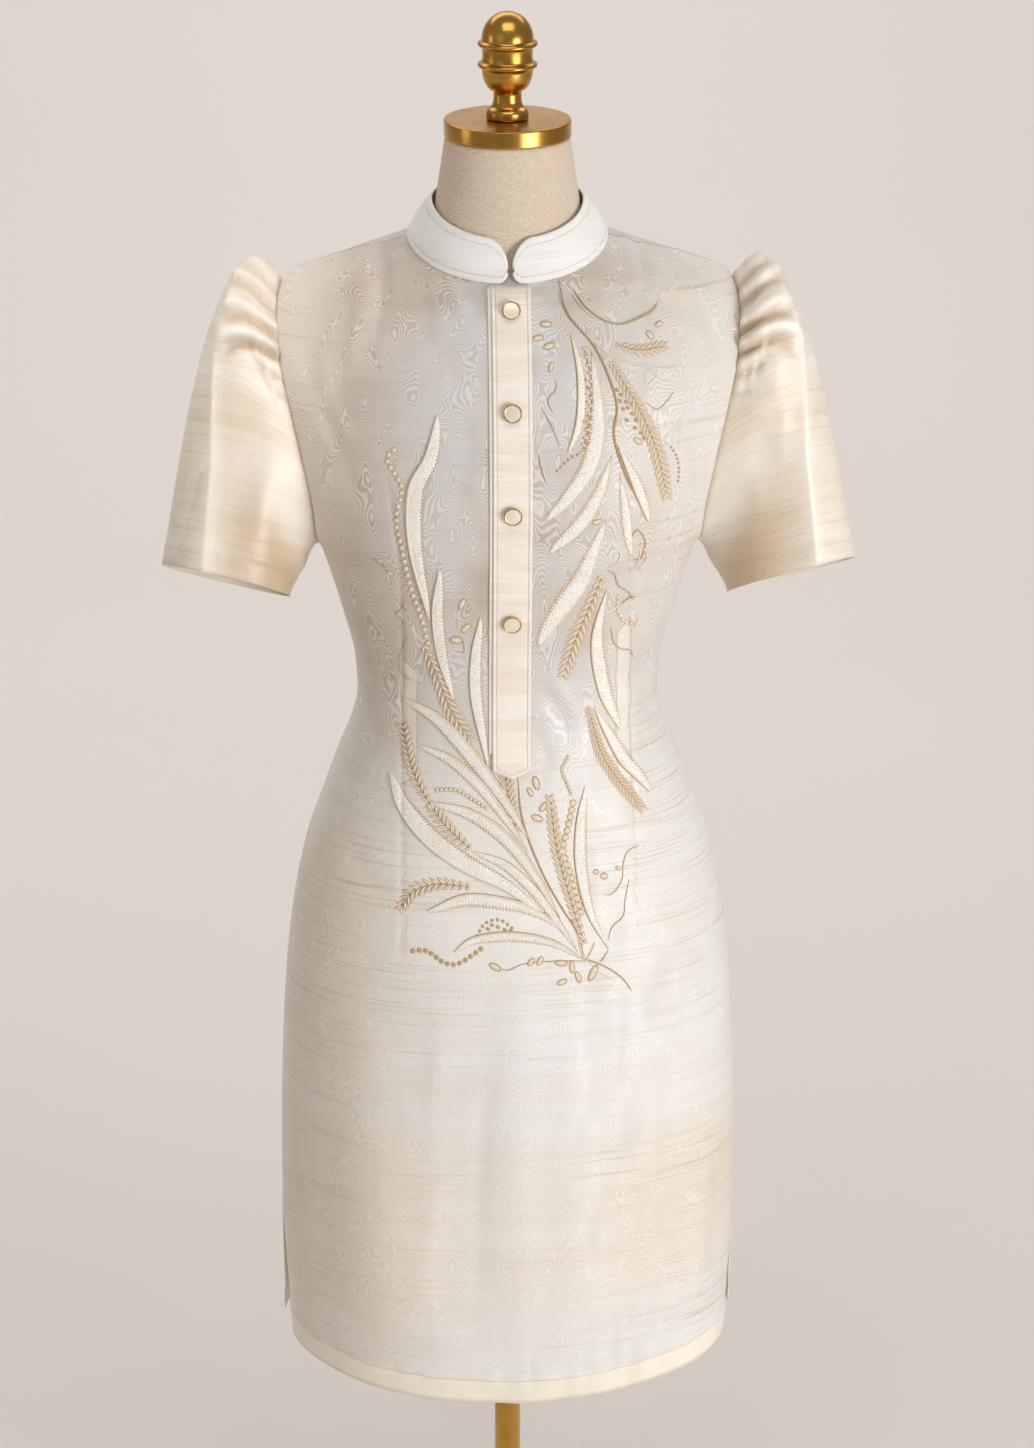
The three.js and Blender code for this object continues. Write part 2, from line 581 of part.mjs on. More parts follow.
// Closed skin of the torso and neck: front and back shells, flat arm plates, a neck and a flat underside.
function formGeometry(frontRows, backRows) {
  const keep = (rows) => rows.filter((row) => row.z >= FORM.bottom - 1e-6);
  const front = panelSheet(keep(frontRows), -1, FORM.columns);
  const back = panelSheet(keep(backRows), 1, FORM.columns);
  const [frontNormals, backNormals] = seamNormals([front, back]);
  const shrink = (sheet, normals) => {
    const out = sheet.points.map((p) => p.clone());
    sheet.grid.forEach((line, r) => {
      const row = sheet.rows[r];
      line.forEach((cell, c) => {
        const gap = CLOTH + formGap(row, Math.abs(c / FORM.columns - 1));
        cell.forEach((i) => out[i].copy(sheet.points[i]).addScaledVector(normals[i], -gap));
      });
      if (Math.abs(row.z - FORM.bottom) < 1e-6) line.flat().forEach((i) => (out[i].z = FORM.bottom));
    });
    return out;
  };
  const frontPoints = shrink(front, frontNormals);
  const backPoints = shrink(back, backNormals);
  const triangles = [];
  const quad = (a, b, c, d) => triangles.push(a, b, c, a, c, d);
  const grids = [[front, frontPoints], [back, backPoints]];
  for (const [sheet, points] of grids) {
    for (const corners of sheet.quads) quad(...corners.map((i) => points[i]));
  }
  const rowCount = front.grid.length;
  const edgeOf = (sheet, points, side) => sheet.grid.map((line) => {
    const cell = side > 0 ? line[line.length - 1] : line[0];
    return points[cell[0]];
  });
  for (const side of [1, -1]) {
    const fore = edgeOf(front, frontPoints, side);
    const aft = edgeOf(back, backPoints, side);
    const plate = (r) => [0, 0.25, 0.5, 0.75, 1].map((t) => {
      const bulge = side * FORM.armPlate * Math.sin(Math.PI * t) * smooth(fore[r].distanceTo(aft[r]), 0, 60);
      const point = fore[r].clone().lerp(aft[r], t);
      point.x += bulge;
      return point;
    });
    for (let r = 0; r < rowCount - 1; r += 1) {
      const low = plate(r);
      const high = plate(r + 1);
      for (let i = 0; i < 4; i += 1) {
        if (side > 0) quad(low[i], low[i + 1], high[i + 1], high[i]);
        else quad(low[i + 1], low[i], high[i], high[i + 1]);
      }
    }
  }
  const rim = (sheet, points, side, from) => sheet.grid.slice(from).map((line) => {
    const cell = line[(line.length - 1) / 2];
    return points[side > 0 ? cell[1] : cell[0]];
  });
  const firstNeck = front.rows.findIndex((row) => row.onNeckline);
  const ring = [
    ...rim(front, frontPoints, 1, firstNeck),
    ...rim(back, backPoints, 1, firstNeck).reverse().slice(1),
    ...rim(back, backPoints, -1, firstNeck).slice(1),
    ...rim(front, frontPoints, -1, firstNeck).reverse().slice(1, -1),
  ];
  const neckLoops = NECK_RINGS.map((level) => ring.map((p) => neckPoint(p, level)));
  for (let k = 0; k < neckLoops.length - 1; k += 1) {
    for (let i = 0; i < ring.length; i += 1) {
      const j = (i + 1) % ring.length;
      quad(neckLoops[k][i], neckLoops[k][j], neckLoops[k + 1][j], neckLoops[k + 1][i]);
    }
  }
  const top = new THREE.Vector3(0, 0, FORM.neckTop);
  const crown = neckLoops[neckLoops.length - 1];
  crown.forEach((p, i) => triangles.push(p, crown[(i + 1) % crown.length], top));
  const floor = new THREE.Vector3(0, 0, FORM.bottom);
  const foot = [
    ...front.grid[0].map((cell) => frontPoints[cell[0]]),
    ...back.grid[0].map((cell) => backPoints[cell[0]]).reverse().slice(1, -1),
  ];
  foot.forEach((p, i) => triangles.push(foot[(i + 1) % foot.length], p, floor));
  const solid = triangles.filter((_, i) => i % 3 === 0).flatMap((_, t) => {
    const [a, b, c] = triangles.slice(3 * t, 3 * t + 3);
    const flat = b.clone().sub(a).cross(c.clone().sub(a)).length() < 1e-6;
    return flat ? [] : [a, b, c];
  });
  const geometry = new THREE.BufferGeometry();
  geometry.setAttribute("position", new THREE.Float32BufferAttribute(solid.flatMap((p) => [p.x, p.y, p.z]), 3));
  return mergeVertices(geometry, 1e-3);
}

// The neck comes in from the neckline to an oval foot and tapers to a level round top.
function neckPoint(start, { inward, rise, taper }) {
  const turn = Math.atan2(start.x / NECKLINE.halfWidth, -start.y / NECKLINE.front);
  const { halfWidth, front, back } = FORM.neckFoot;
  const foot = new THREE.Vector3(halfWidth * Math.sin(turn), -(start.y < 0 ? front : back) * Math.cos(turn), 0);
  const top = new THREE.Vector3(Math.sin(turn), -Math.cos(turn), 0).multiplyScalar(FORM.neckTopRadius);
  const point = start.clone().setZ(0).lerp(foot, inward).lerp(top, taper);
  return point.setZ(lerp(start.z + rise, FORM.neckTop, taper));
}

// Turned brass pieces

// A lathe profile given as [radius, height] pairs, bottom to top, turned upright.
function turned(pairs, segments) {
  const geometry = new THREE.LatheGeometry(pairs.map(([r, h]) => new THREE.Vector2(r, h)), segments);
  return geometry.rotateX(Math.PI / 2);
}

// Points of a half-round bead between two heights, standing out from a radius.
function bead(radius, low, high, out, steps) {
  return Array.from({ length: steps + 1 }, (_, i) => {
    const turn = (Math.PI * i) / steps;
    return [radius + out * Math.sin(turn), (low + high) / 2 - ((high - low) / 2) * Math.cos(turn)];
  });
}

function finialGeometry() {
  const bowl = [0, 18, 36, 54, 72].map((deg) => {
    const turn = radians(deg);
    return [11.5 + 9.5 * Math.sin(turn), 43 - 20 * Math.cos(turn)];
  });
  const dome = [0, 15, 30, 45, 60, 75].map((deg) => [21 * Math.cos(radians(deg)), 65 + 22 * Math.sin(radians(deg))]);
  return turned([
    [0, 0], [16.6, 0], [17.3, 1], [17.3, 6], [16.2, 8], [13, 10], [11.6, 14], [11.4, 19],
    ...bowl,
    ...bead(21.4, 41.5, 46.5, 3.1, 4),
    [20.6, 49], [20.6, 55.5],
    ...bead(21.4, 58.5, 63.5, 3.1, 4),
    ...dome,
    [0, 87],
  ], 20);
}

// Assembly

const dress = new THREE.Group();

function addPiece(parent, name, geometry, colour, roughness, metalness = 0) {
  const material = new THREE.MeshStandardMaterial({ color: colour, roughness, metalness });
  const piece = new THREE.Mesh(geometry, material);
  piece.name = name;
  parent.add(piece);
  return piece;
}

function mirrored(points) {
  return points.map((p) => new THREE.Vector3(-p.x, p.y, p.z));
}

const frontRows = panelRows(FRONT_ROWS, -1);
const backRows = panelRows(BACK_ROWS, 1);
const form = formGeometry(frontRows, backRows);

const frontSheet = panelSheet(frontRows, -1, DRESS.columns, PLACKET.slitBottom);
const backSheet = panelSheet(backRows, 1, DRESS.columns);
const [frontNormals, backNormals] = seamNormals([frontSheet, backSheet]);
const armLoop = armholeLoop(frontRows, backRows);
const armNormals = armLoop.map((p) => {
  const sheet = p.y <= 0 ? frontSheet : backSheet;
  const normals = p.y <= 0 ? frontNormals : backNormals;
  const index = sheet.points.findIndex((q) => q.distanceTo(p) < 1e-3);
  return normals[index];
});

partSeams(frontSheet, -1);
partSeams(backSheet, 1);
const frontInner = moved(frontSheet.points, frontNormals, -CLOTH);
const backInner = moved(backSheet.points, backNormals, -CLOTH);
addPiece(dress, "front", wallGeometry(frontSheet.points, frontInner, frontSheet.quads), COLOUR.jusi, 0.6);
addPiece(dress, "back", wallGeometry(backSheet.points, backInner, backSheet.quads), COLOUR.jusi, 0.6);

const armColumns = sleeveColumns(armLoop);
const sleeve = sleeveSheet(armColumns);
partArmhole(sleeve, armColumns, armLoop, armNormals);
const [sleeveNormals] = seamNormals([sleeve]);
const sleeveInner = moved(sleeve.points, sleeveNormals, -CLOTH);
const turnedQuads = sleeve.quads.map((quad) => [...quad].reverse());
addPiece(dress, "sleeve_left", wallGeometry(sleeve.points, sleeveInner, sleeve.quads), COLOUR.satin, 0.35);
addPiece(dress, "sleeve_right", wallGeometry(mirrored(sleeve.points), mirrored(sleeveInner), turnedQuads),
  COLOUR.satin, 0.35);

const collar = collarSheet();
const [collarNormals] = seamNormals([collar]);
const collarInner = moved(collar.points, collarNormals, -BAND_CLOTH);
addPiece(dress, "collar", wallGeometry(collar.points, collarInner, collar.quads), COLOUR.collar, 0.8);

const depthAt = frontLine(frontRows);
const levels = frontRows.map((row) => row.inner.z);
const half = PLACKET.overWidth / 2;
const strips = {
  placket_under: {
    left: -half - PLACKET.underPeek, right: PLACKET.underWidth - half - PLACKET.underPeek,
    top: 1325, bottom: 934, point: 0.5, lift: CLOTH + SEAM_GAP, levels,
  },
  placket_over: {
    left: -half, right: half, top: 1324, bottom: PLACKET.endHeight,
    point: PLACKET.pointRise, lift: 2 * CLOTH + 2 * SEAM_GAP, levels,
  },
};
for (const [name, strip] of Object.entries(strips)) {
  const sheet = placketSheet(depthAt, strip);
  const inner = sheet.points.map((p) => new THREE.Vector3(p.x, p.y + CLOTH, p.z));
  addPiece(dress, name, wallGeometry(sheet.points, inner, sheet.quads), COLOUR.placket, 0.7);
}

const placketFace = 2 * CLOTH + 2 * SEAM_GAP;
BUTTON_HEIGHTS.forEach((z, index) => {
  const rise = 8;
  const lean = Math.atan2(depthAt(0, z + rise) - depthAt(0, z - rise), 2 * rise);
  const button = addPiece(dress, `button_${index + 1}`, buttonGeometry(), COLOUR.buttonFace, 0.35, 0.6);
  button.rotation.x = Math.PI - lean;
  const off = placketFace + (1.5 * SEAM_GAP) / Math.cos(lean);
  button.position.set(0, depthAt(0, z) - off, z);
});

addPiece(dress, "form_torso", form, COLOUR.linen, 0.95);

const cap = turned([
  [0, 0], [CAP.radius - 0.8, 0], [CAP.radius, 0.8], [CAP.radius, CAP.thick - 1], [CAP.radius - 1, CAP.thick],
  [0, CAP.thick],
], 36);
addPiece(dress, "neck_cap", cap, COLOUR.brass, 0.3, 1).position.z = FORM.neckTop + SEAM_GAP;
const finial = addPiece(dress, "finial", finialGeometry(), COLOUR.brass, 0.28, 1);
finial.position.z = FORM.neckTop + CAP.thick + 2 * SEAM_GAP;

const poleTop = FORM.bottom - SEAM_GAP;
const pole = turned([[0, POLE.bottom], [POLE.radius, POLE.bottom], [POLE.radius, poleTop], [0, poleTop]], 24);
addPiece(dress, "pole", pole, COLOUR.brass, 0.3, 1);

const hubTop = BASE.crown + BASE.collarHeight;
const bore = POLE.radius + SEAM_GAP;
const seat = POLE.bottom - SEAM_GAP;
const base = turned([
  [0, 0], [BASE.radius - 2, 0], [BASE.radius, 2], [BASE.radius, BASE.edge], [BASE.radius - 3, BASE.edge + 2.5],
  [BASE.radius * 0.6, BASE.crown - 3.5], [BASE.collarRadius + 6, BASE.crown], [BASE.collarRadius, BASE.crown + 2],
  [BASE.collarRadius, hubTop - 1.5], [BASE.collarRadius - 1.5, hubTop], [bore, hubTop], [bore, seat], [0, seat],
], 40);
addPiece(dress, "base", base, COLOUR.brass, 0.35, 1);

export default dress;
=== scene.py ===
"""A filipiniana dress on a limbless dress form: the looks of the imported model.

Tables are in millimetres and name the same levels as the part. Meshes are in metres, +Z up, -Y the front.
"""

import math

import bmesh
import bpy
import numpy as np
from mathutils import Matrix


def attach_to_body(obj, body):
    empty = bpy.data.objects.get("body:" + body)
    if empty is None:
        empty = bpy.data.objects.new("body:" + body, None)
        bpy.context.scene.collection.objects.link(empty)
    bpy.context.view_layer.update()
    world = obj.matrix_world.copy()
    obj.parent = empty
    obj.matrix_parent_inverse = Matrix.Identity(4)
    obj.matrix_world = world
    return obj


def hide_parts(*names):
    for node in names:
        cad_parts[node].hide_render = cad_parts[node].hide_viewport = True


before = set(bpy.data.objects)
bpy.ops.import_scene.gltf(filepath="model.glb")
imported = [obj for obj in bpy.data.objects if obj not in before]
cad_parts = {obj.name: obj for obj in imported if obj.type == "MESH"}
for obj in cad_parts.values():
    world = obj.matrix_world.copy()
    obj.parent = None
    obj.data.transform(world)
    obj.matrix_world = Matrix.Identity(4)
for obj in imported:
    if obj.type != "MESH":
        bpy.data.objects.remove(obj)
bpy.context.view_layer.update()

MM = 0.001

# Levels of the dress, from the hem up

# z, side, front, back, drop of the centre line, exponent of the section
SKIRT = np.array([
    (358, 199.5, 133, 130, 23, 2.15),
    (470, 201.7, 134, 131, 9, 2.25),
    (575, 200.2, 134, 133, 0, 2.3),
    (653, 197.0, 131, 134, 0, 2.3),
    (711, 192.7, 127, 132, 0, 2.3),
    (768, 185.5, 121, 126, 0, 2.3),
    (825, 173.0, 113, 115, 0, 2.28),
    (862, 160.0, 107, 106, 0, 2.25),
    (899, 147.0, 101, 97, 0, 2.22),
    (936, 132.7, 96, 90, 0, 2.2),
    (960, 128.3, 94, 87, 0, 2.2),
    (991, 130.0, 96, 88, 0, 2.2),
    (1045, 143.0, 106, 94, 0, 2.22),
    (1091, 157.0, 115, 100, 0, 2.25),
])
# depth and height of the inner end, angle round the neckline, x, y and z of the outer end,
# exponent, degrees of arc, power of the height
FRONT_YOKE = np.array([
    (121, 1128, 0, 160, 31, 1101, 2.3, 80, 1.4),
    (124, 1165, 0, 163, 50, 1135, 2.25, 74, 1.4),
    (121, 1205, 0, 170, 57, 1175, 2.2, 70, 1.4),
    (112, 1245, 0, 179, 55, 1218, 2.12, 66, 1.4),
    (94, 1288, 0, 187, 45, 1256, 2.0, 66, 1.4),
    (65, 1329, 0, 190, 30, 1286, 1.8, 70, 1.4),
    (0, 0, 30, 190, 18, 1300, 1.55, 80, 1.45),
    (0, 0, 60, 188.5, 8, 1310, 1.25, 85, 1.5),
    (0, 0, 90, 185, 0, 1316, 1.0, 90, 1.5),
])
BACK_YOKE = np.array([
    (104, 1126, 180, 160, 29, 1101, 2.3, 80, 1.4),
    (108, 1164, 180, 163, 46, 1135, 2.25, 74, 1.4),
    (109, 1208, 180, 169, 52, 1175, 2.2, 70, 1.4),
    (105, 1254, 180, 178, 50, 1218, 2.15, 66, 1.3),
    (90, 1308, 180, 186, 41, 1256, 2.05, 66, 1.15),
    (58, 1362, 180, 189, 28, 1286, 1.8, 70, 1.0),
    (0, 0, 150, 189.5, 17, 1300, 1.5, 80, 1.05),
    (0, 0, 120, 188, 8, 1310, 1.2, 85, 1.2),
    (0, 0, 90, 185, 0, 1316, 1.0, 90, 1.5),
])
SLIT_TOP = 470
HEM_SIDE = 358
UNDERARM = 13          # the row number of the underarm
NECK_ROW = 19          # the row number where the neckline starts
LAST_ROW = 22          # the row number of the shoulder seam
NECKLINE = {"half": 82, "front": 65, "back": 58, "side": 1355, "fall": 0.4, "rise": 0.12}
COLLAR_TOP = {"half": 62, "front": 54.5, "back": 55, "side": 1385, "fall": 0.4, "rise": 0.12}
PLACKET = {"left": -16, "right": 16, "top": 1329, "bottom": 913, "point": 7}
BUTTON_HEIGHTS = (1312, 1236, 1153, 1055)


def steady(values, at):
    """Monotone cubic through a column of numbers, at fractional row numbers: Hermite pieces whose slope at a row is
    the harmonic mean of the steps on both sides, or none where the steps turn back."""
    values = np.asarray(values, float)
    last = len(values) - 1
    step = np.diff(values)
    before, after = step[:-1], step[1:]
    turning = before * after <= 0
    slope = np.zeros(last + 1)
    slope[1:-1] = np.where(turning, 0, 2 * before * after / np.where(turning, 1, before + after))
    slope[0] = 1.5 * step[0] - 0.5 * slope[1]
    slope[-1] = 1.5 * step[-1] - 0.5 * slope[-2]
    row = np.clip(np.floor(at).astype(int), 0, last - 1)
    t = at - row
    return (values[row] + (3 * t * t - 2 * t ** 3) * step[row] + t * (1 - t) ** 2 * slope[row]
            - t * t * (1 - t) * slope[row + 1])


def smooth(x, low, high):
    """Smooth step from 0 at low to 1 at high."""
    t = np.clip((x - low) / (high - low), 0, 1)
    return t * t * (3 - 2 * t)


def oval_point(oval, angle):
    """A point of a leaning oval, angle 0 at the front centre and 90 at the wearer's left: an ellipse whose height
    follows its own depth."""
    turn = np.radians(angle)
    ahead = np.cos(turn) > 0
    y = -np.where(ahead, oval["front"], oval["back"]) * np.cos(turn)
    z = oval["side"] + np.where(ahead, oval["fall"], oval["rise"]) * y
    return np.stack([oval["half"] * np.sin(turn), y, z], -1)


def row_columns(facing, at):
    """Every column of the panel's table at fractional row numbers, one curve per column."""
    neck = 0 if facing < 0 else 180
    rows = len(SKIRT)
    z, side, drop, power = SKIRT[:, 0], SKIRT[:, 1], SKIRT[:, 4], SKIRT[:, 5]
    depth = SKIRT[:, 2 if facing < 0 else 3]
    lower = np.stack([depth, z - drop, np.full(rows, neck), side, np.zeros(rows), z, power, np.full(rows, 90),
                      np.full(rows, 1.4)], 1)
    upper = np.vstack([lower[-1:], FRONT_YOKE if facing < 0 else BACK_YOKE])
    columns = []
    for number in range(lower.shape[1]):
        if number == 2:
            above = np.interp(at - UNDERARM, np.arange(len(upper)), upper[:, 2])
            below = np.full_like(at, neck)
        else:
            above = steady(upper[:, number], np.clip(at - UNDERARM, 0, len(upper) - 1))
            below = steady(lower[:, number], np.clip(at, 0, rows - 1))
        columns.append(np.where(at <= UNDERARM, below, above))
    return columns


def panel_point(facing, at, share, side=1.0):
    """A point of a panel at a row number and a share of the way from its inner to its outer end: part of a
    superellipse's quarter arc between the two ends."""
    at, share, side = np.broadcast_arrays(*(np.asarray(v, float) for v in (at, share, side)))
    depth, height, neck, x, y, z, power, wrap, dip = row_columns(facing, at)
    on_neck = at >= NECK_ROW - 1e-9
    ring = oval_point(NECKLINE, neck)
    inner_x = np.where(on_neck, ring[..., 0], 0)
    inner_y = np.where(on_neck, ring[..., 1], facing * depth)
    inner_z = np.where(on_neck, ring[..., 2], height)
    end = np.radians(wrap)
    turn = end * share
    bend = 2 / power
    across = np.clip(np.sin(turn), 0, 1) ** bend / np.sin(end) ** bend
    corner = np.clip(np.cos(end), 0, 1) ** bend
    deep = (1 - np.clip(np.cos(turn), 0, 1) ** bend) / (1 - corner)
    px = inner_x + (x - inner_x) * across
    py = inner_y + (facing * y - inner_y) * deep
    pz = inner_z + (z - inner_z) * share ** dip
    opened = np.clip((SLIT_TOP - pz) / (SLIT_TOP - HEM_SIDE), 0, 1) * share ** 8
    px = px - (8 if facing < 0 else -1) * opened
    py = py + facing * (5 if facing < 0 else 4) * opened
    wave = smooth(SLIT_TOP + 200 - pz, 0, 300) * np.sin(np.pi * share) * 2.2
    py = py + np.sign(py) * wave * np.sin(share * 9 + side * 1.3)
    return np.stack([px * side, py, pz], -1)


def row_numbers(spacing):
    """Row numbers about one spacing apart in height, the table's own rows among them."""
    heights = np.concatenate([SKIRT[:, 0], FRONT_YOKE[:6, 1]])
    counts = np.maximum(2, np.round(np.diff(heights) / spacing)).astype(int).tolist() + [9, 9, 9]
    parts = [np.arange(count) / count + row for row, count in enumerate(counts)]
    return np.concatenate([*parts, [LAST_ROW]])


# Mesh making

def normals_of(grid, wrap=False):
    """Unit normals of a grid: the cross product of its two finite differences."""
    if wrap:
        across = np.roll(grid, -1, 1) - np.roll(grid, 1, 1)
    else:
        across = np.gradient(grid, axis=1)
    along = np.gradient(grid, axis=0)
    normal = np.cross(across, along)
    length = np.linalg.norm(normal, axis=-1, keepdims=True)
    return normal / np.maximum(length, 1e-12)


def grid_faces(rows, columns, start=0, wrap=False, turned=False):
    """Four-cornered faces of a grid of points that are numbered row by row."""
    cells = columns if wrap else columns - 1
    row, column = np.meshgrid(np.arange(rows - 1), np.arange(cells), indexing="ij")
    after = (column + 1) % columns
    faces = np.stack([row * columns + column, row * columns + after, (row + 1) * columns + after,
                      (row + 1) * columns + column], -1).reshape(-1, 4) + start
    return faces[:, ::-1] if turned else faces


def rim_faces(loop, inner_start, turned=False):
    """Faces that join one open line of outer points to the same line of inner points."""
    a, b = loop[:-1], loop[1:]
    faces = np.stack([b, a, a + inner_start, b + inner_start], -1)
    return faces[:, ::-1] if turned else faces


def make_piece(name, points, faces, material, uv=None, marks=None):
    """A mesh object from points in millimetres and faces. Each point can have a place on the flat cloth, uv, and
    two values that its shader draws, marks: distances from marks on the cloth, or on the sleeves how strong the
    painted shade and the painted highlight are."""
    mesh = bpy.data.meshes.new(name)
    mesh.from_pydata((np.asarray(points).reshape(-1, 3) * MM).tolist(), [], faces.tolist())
    corners = np.empty(len(mesh.loops), dtype=np.int32)
    mesh.loops.foreach_get("vertex_index", corners)
    for label, values in (("cloth", uv), ("marks", marks)):
        if values is not None:
            layer = mesh.uv_layers.new(name=label)
            layer.data.foreach_set("uv", np.asarray(values, np.float32).reshape(-1, 2)[corners].ravel())
    mesh.polygons.foreach_set("use_smooth", np.full(len(mesh.polygons), True))
    mesh.update()
    mesh.materials.append(material)
    piece = bpy.data.objects.new(name, mesh)
    bpy.context.scene.collection.objects.link(piece)
    return piece


def cloth_wall(name, outer, thickness, material, wrap=False, turned=False, uv=None, marks=None):
    """A closed thin wall from a grid of outer points: the same grid moved in along its normals, and rims along the
    open edges."""
    rows, columns = outer.shape[:2]
    sign = -1 if turned else 1
    inner = outer - normals_of(outer, wrap) * thickness * sign
    count = rows * columns
    index = np.arange(count).reshape(rows, columns)
    close = (lambda line: np.append(line, line[0])) if wrap else (lambda line: line)
    parts = [
        grid_faces(rows, columns, 0, wrap, turned),
        grid_faces(rows, columns, count, wrap, not turned),
        rim_faces(close(index[0]), count, turned),
        rim_faces(close(index[-1])[::-1], count, turned),
    ]
    if not wrap:
        parts += [rim_faces(index[::-1, 0], count, turned), rim_faces(index[:, -1], count, turned)]
    both = [None if plane is None else np.concatenate([plane.reshape(-1, 2)] * 2) for plane in (uv, marks)]
    return make_piece(name, np.stack([outer, inner]), np.concatenate(parts), material, *both)


class Patches:
    """Collects the patches of one piece."""

    def __init__(self):
        self.points, self.faces, self.uv, self.count = [], [], [], 0

    def add(self, points, faces, uv=None):
        """Adds points, and faces that are numbered from the patch's first point."""
        self.points.append(points.reshape(-1, 3))
        self.faces.append(faces + self.count)
        if uv is not None:
            self.uv.append(uv.reshape(-1, 2) * MM)
        self.count += len(self.points[-1])

    def piece(self, name, material):
        """All the patches as one piece."""
        return make_piece(name, np.concatenate(self.points), np.concatenate(self.faces), material,
                          np.concatenate(self.uv) if self.uv else None)


def lathe(name, profile, segments, material):
    """A profile of radius and height pairs, bottom to top, carried round an upright axis. Ends on the axis are
    closed."""
    profile = np.asarray(profile, float)
    turn = np.arange(segments) * 2 * np.pi / segments
    ring = np.stack([np.cos(turn), np.sin(turn)], -1)
    points = np.zeros((len(profile), segments, 3))
    points[..., :2] = profile[:, None, :1] * ring
    points[..., 2] = profile[:, 1:2]
    return merge_doubles(make_piece(name, points, grid_faces(len(profile), segments, wrap=True), material))


def merge_doubles(piece, distance=1e-6):
    """Joins the points of a pole or a seam, turns the faces outwards and returns the piece."""
    work = bmesh.new()
    work.from_mesh(piece.data)
    bmesh.ops.remove_doubles(work, verts=work.verts, dist=distance)
    bmesh.ops.recalc_face_normals(work, faces=work.faces)
    work.to_mesh(piece.data)
    work.free()
    piece.data.update()
    return piece


def rounded(profile, radius):
    """Rounds the corners of a profile: each inner corner gives way to points of a quadratic curve that starts and
    ends one radius, or less than half a side, away."""
    profile = np.asarray(profile, float)
    out = [profile[0]]
    for before, corner, after in zip(profile[:-2], profile[1:-1], profile[2:]):
        ends = []
        for other in (before, after):
            side = np.linalg.norm(other - corner)
            ends.append(corner + (other - corner) * min(radius, 0.45 * side) / side)
        for t in np.linspace(0, 1, 5):
            out.append((1 - t) ** 2 * ends[0] + 2 * t * (1 - t) * corner + t * t * ends[1])
    return np.array([*out, profile[-1]])


# Shader making

class Wire:
    """One value on its way through a shader tree. Sums and products of wires become Math nodes."""

    def __init__(self, socket):
        self.socket = socket

    def through(self, kind, inputs=(), key=0, first=0, **settings):
        """The wire led into one input of a new node, and one of that node's outputs."""
        return Wire(put(self.socket.id_data, kind, [(first, self), *inputs], **settings).outputs[key])

    def math(self, operation, other=0.0, clamp=False):
        """A Math node of the wire and another value."""
        return self.through("Math", [(1, other)], operation=operation, use_clamp=clamp)

    def __add__(self, other):
        return self.math("ADD", other)

    def __sub__(self, other):
        return self.math("SUBTRACT", other)

    def __mul__(self, other):
        return self.math("MULTIPLY", other)

    def __abs__(self):
        return self.math("ABSOLUTE")

    def between(self, low, high, to_low=0.0, to_high=1.0):
        """The value carried from one range to another, smoothly and held at both ends."""
        ranges = zip(("From Min", "From Max", "To Min", "To Max"), (low, high, to_low, to_high))
        return self.through("MapRange", ranges, interpolation_type="SMOOTHSTEP")

    def stretched(self, scale, turn=(0, 0, 0)):
        """A place scaled along each axis and turned."""
        return self.through("Mapping", [("Scale", scale), ("Rotation", turn)])

    def noise(self, scale=1.0, detail=2.0, rough=0.5):
        """Noise at a place."""
        return self.through("TexNoise", [("Scale", scale), ("Detail", detail), ("Roughness", rough)])

    def tint(self, first, second):
        """A mix of two colours, with the wire as its factor."""
        return self.through("Mix", [(6, first), (7, second)], 2, data_type="RGBA", clamp_factor=True)

    def split(self):
        """The x, y and z of a place."""
        return [Wire(socket) for socket in put(self.socket.id_data, "SeparateXYZ", [(0, self)]).outputs]

    def fed_to(self, group, **values):
        """The outputs of a node group by name. It takes the wire first, and other values by name."""
        inputs = [(0, self), *((key.replace("_", " "), value) for key, value in values.items())]
        node = put(self.socket.id_data, "Group", node_tree=group)
        for key, value in inputs:
            feed(node.inputs[key], value)
        return {socket.name: Wire(socket) for socket in node.outputs}


def feed(socket, value):
    """Links a wire to a socket, or sets the socket to a number, a vector or a colour."""
    if isinstance(value, Wire):
        socket.id_data.links.new(value.socket, socket)
    else:
        socket.default_value = (*value, 1.0) if socket.type == "RGBA" else value


def put(tree, kind, inputs=(), **settings):
    """Adds a shader node, gives it its settings, then feeds its inputs, given as socket and value pairs."""
    node = tree.nodes.new("ShaderNode" + kind)
    for key, value in settings.items():
        setattr(node, key, value)
    for key, value in inputs:
        feed(node.inputs[key], value)
    return node


def linear(red, green, blue):
    """A colour as seen on a screen, 0 to 255, in the linear values that shaders take."""
    values = []
    for level in (red, green, blue):
        level /= 255
        values.append(level / 12.92 if level <= 0.04045 else ((level + 0.055) / 1.055) ** 2.4)
    return tuple(values)


def layered(base, *layers):
    """A colour with others laid over it, each given as its mask and its red, green and blue on a screen."""
    colour = linear(*base) if isinstance(base, tuple) else base
    for mask, shade in layers:
        colour = mask.tint(colour, linear(*shade))
    return colour


def new_group(name, inputs, outputs):
    """An empty node group, its inputs as wires and its output sockets. Inputs are given as name and default; the
    first is a vector where its default is None."""
    group = bpy.data.node_groups.new(name, "ShaderNodeTree")
    for label, default in inputs.items():
        kind = "NodeSocketVector" if default is None else "NodeSocketFloat"
        socket = group.interface.new_socket(label, in_out="INPUT", socket_type=kind)
        if default is not None:
            socket.default_value = default
    for label in outputs:
        group.interface.new_socket(label, in_out="OUTPUT", socket_type="NodeSocketFloat")
    given = group.nodes.new("NodeGroupInput").outputs
    return group, [Wire(given[label]) for label in inputs], group.nodes.new("NodeGroupOutput").inputs


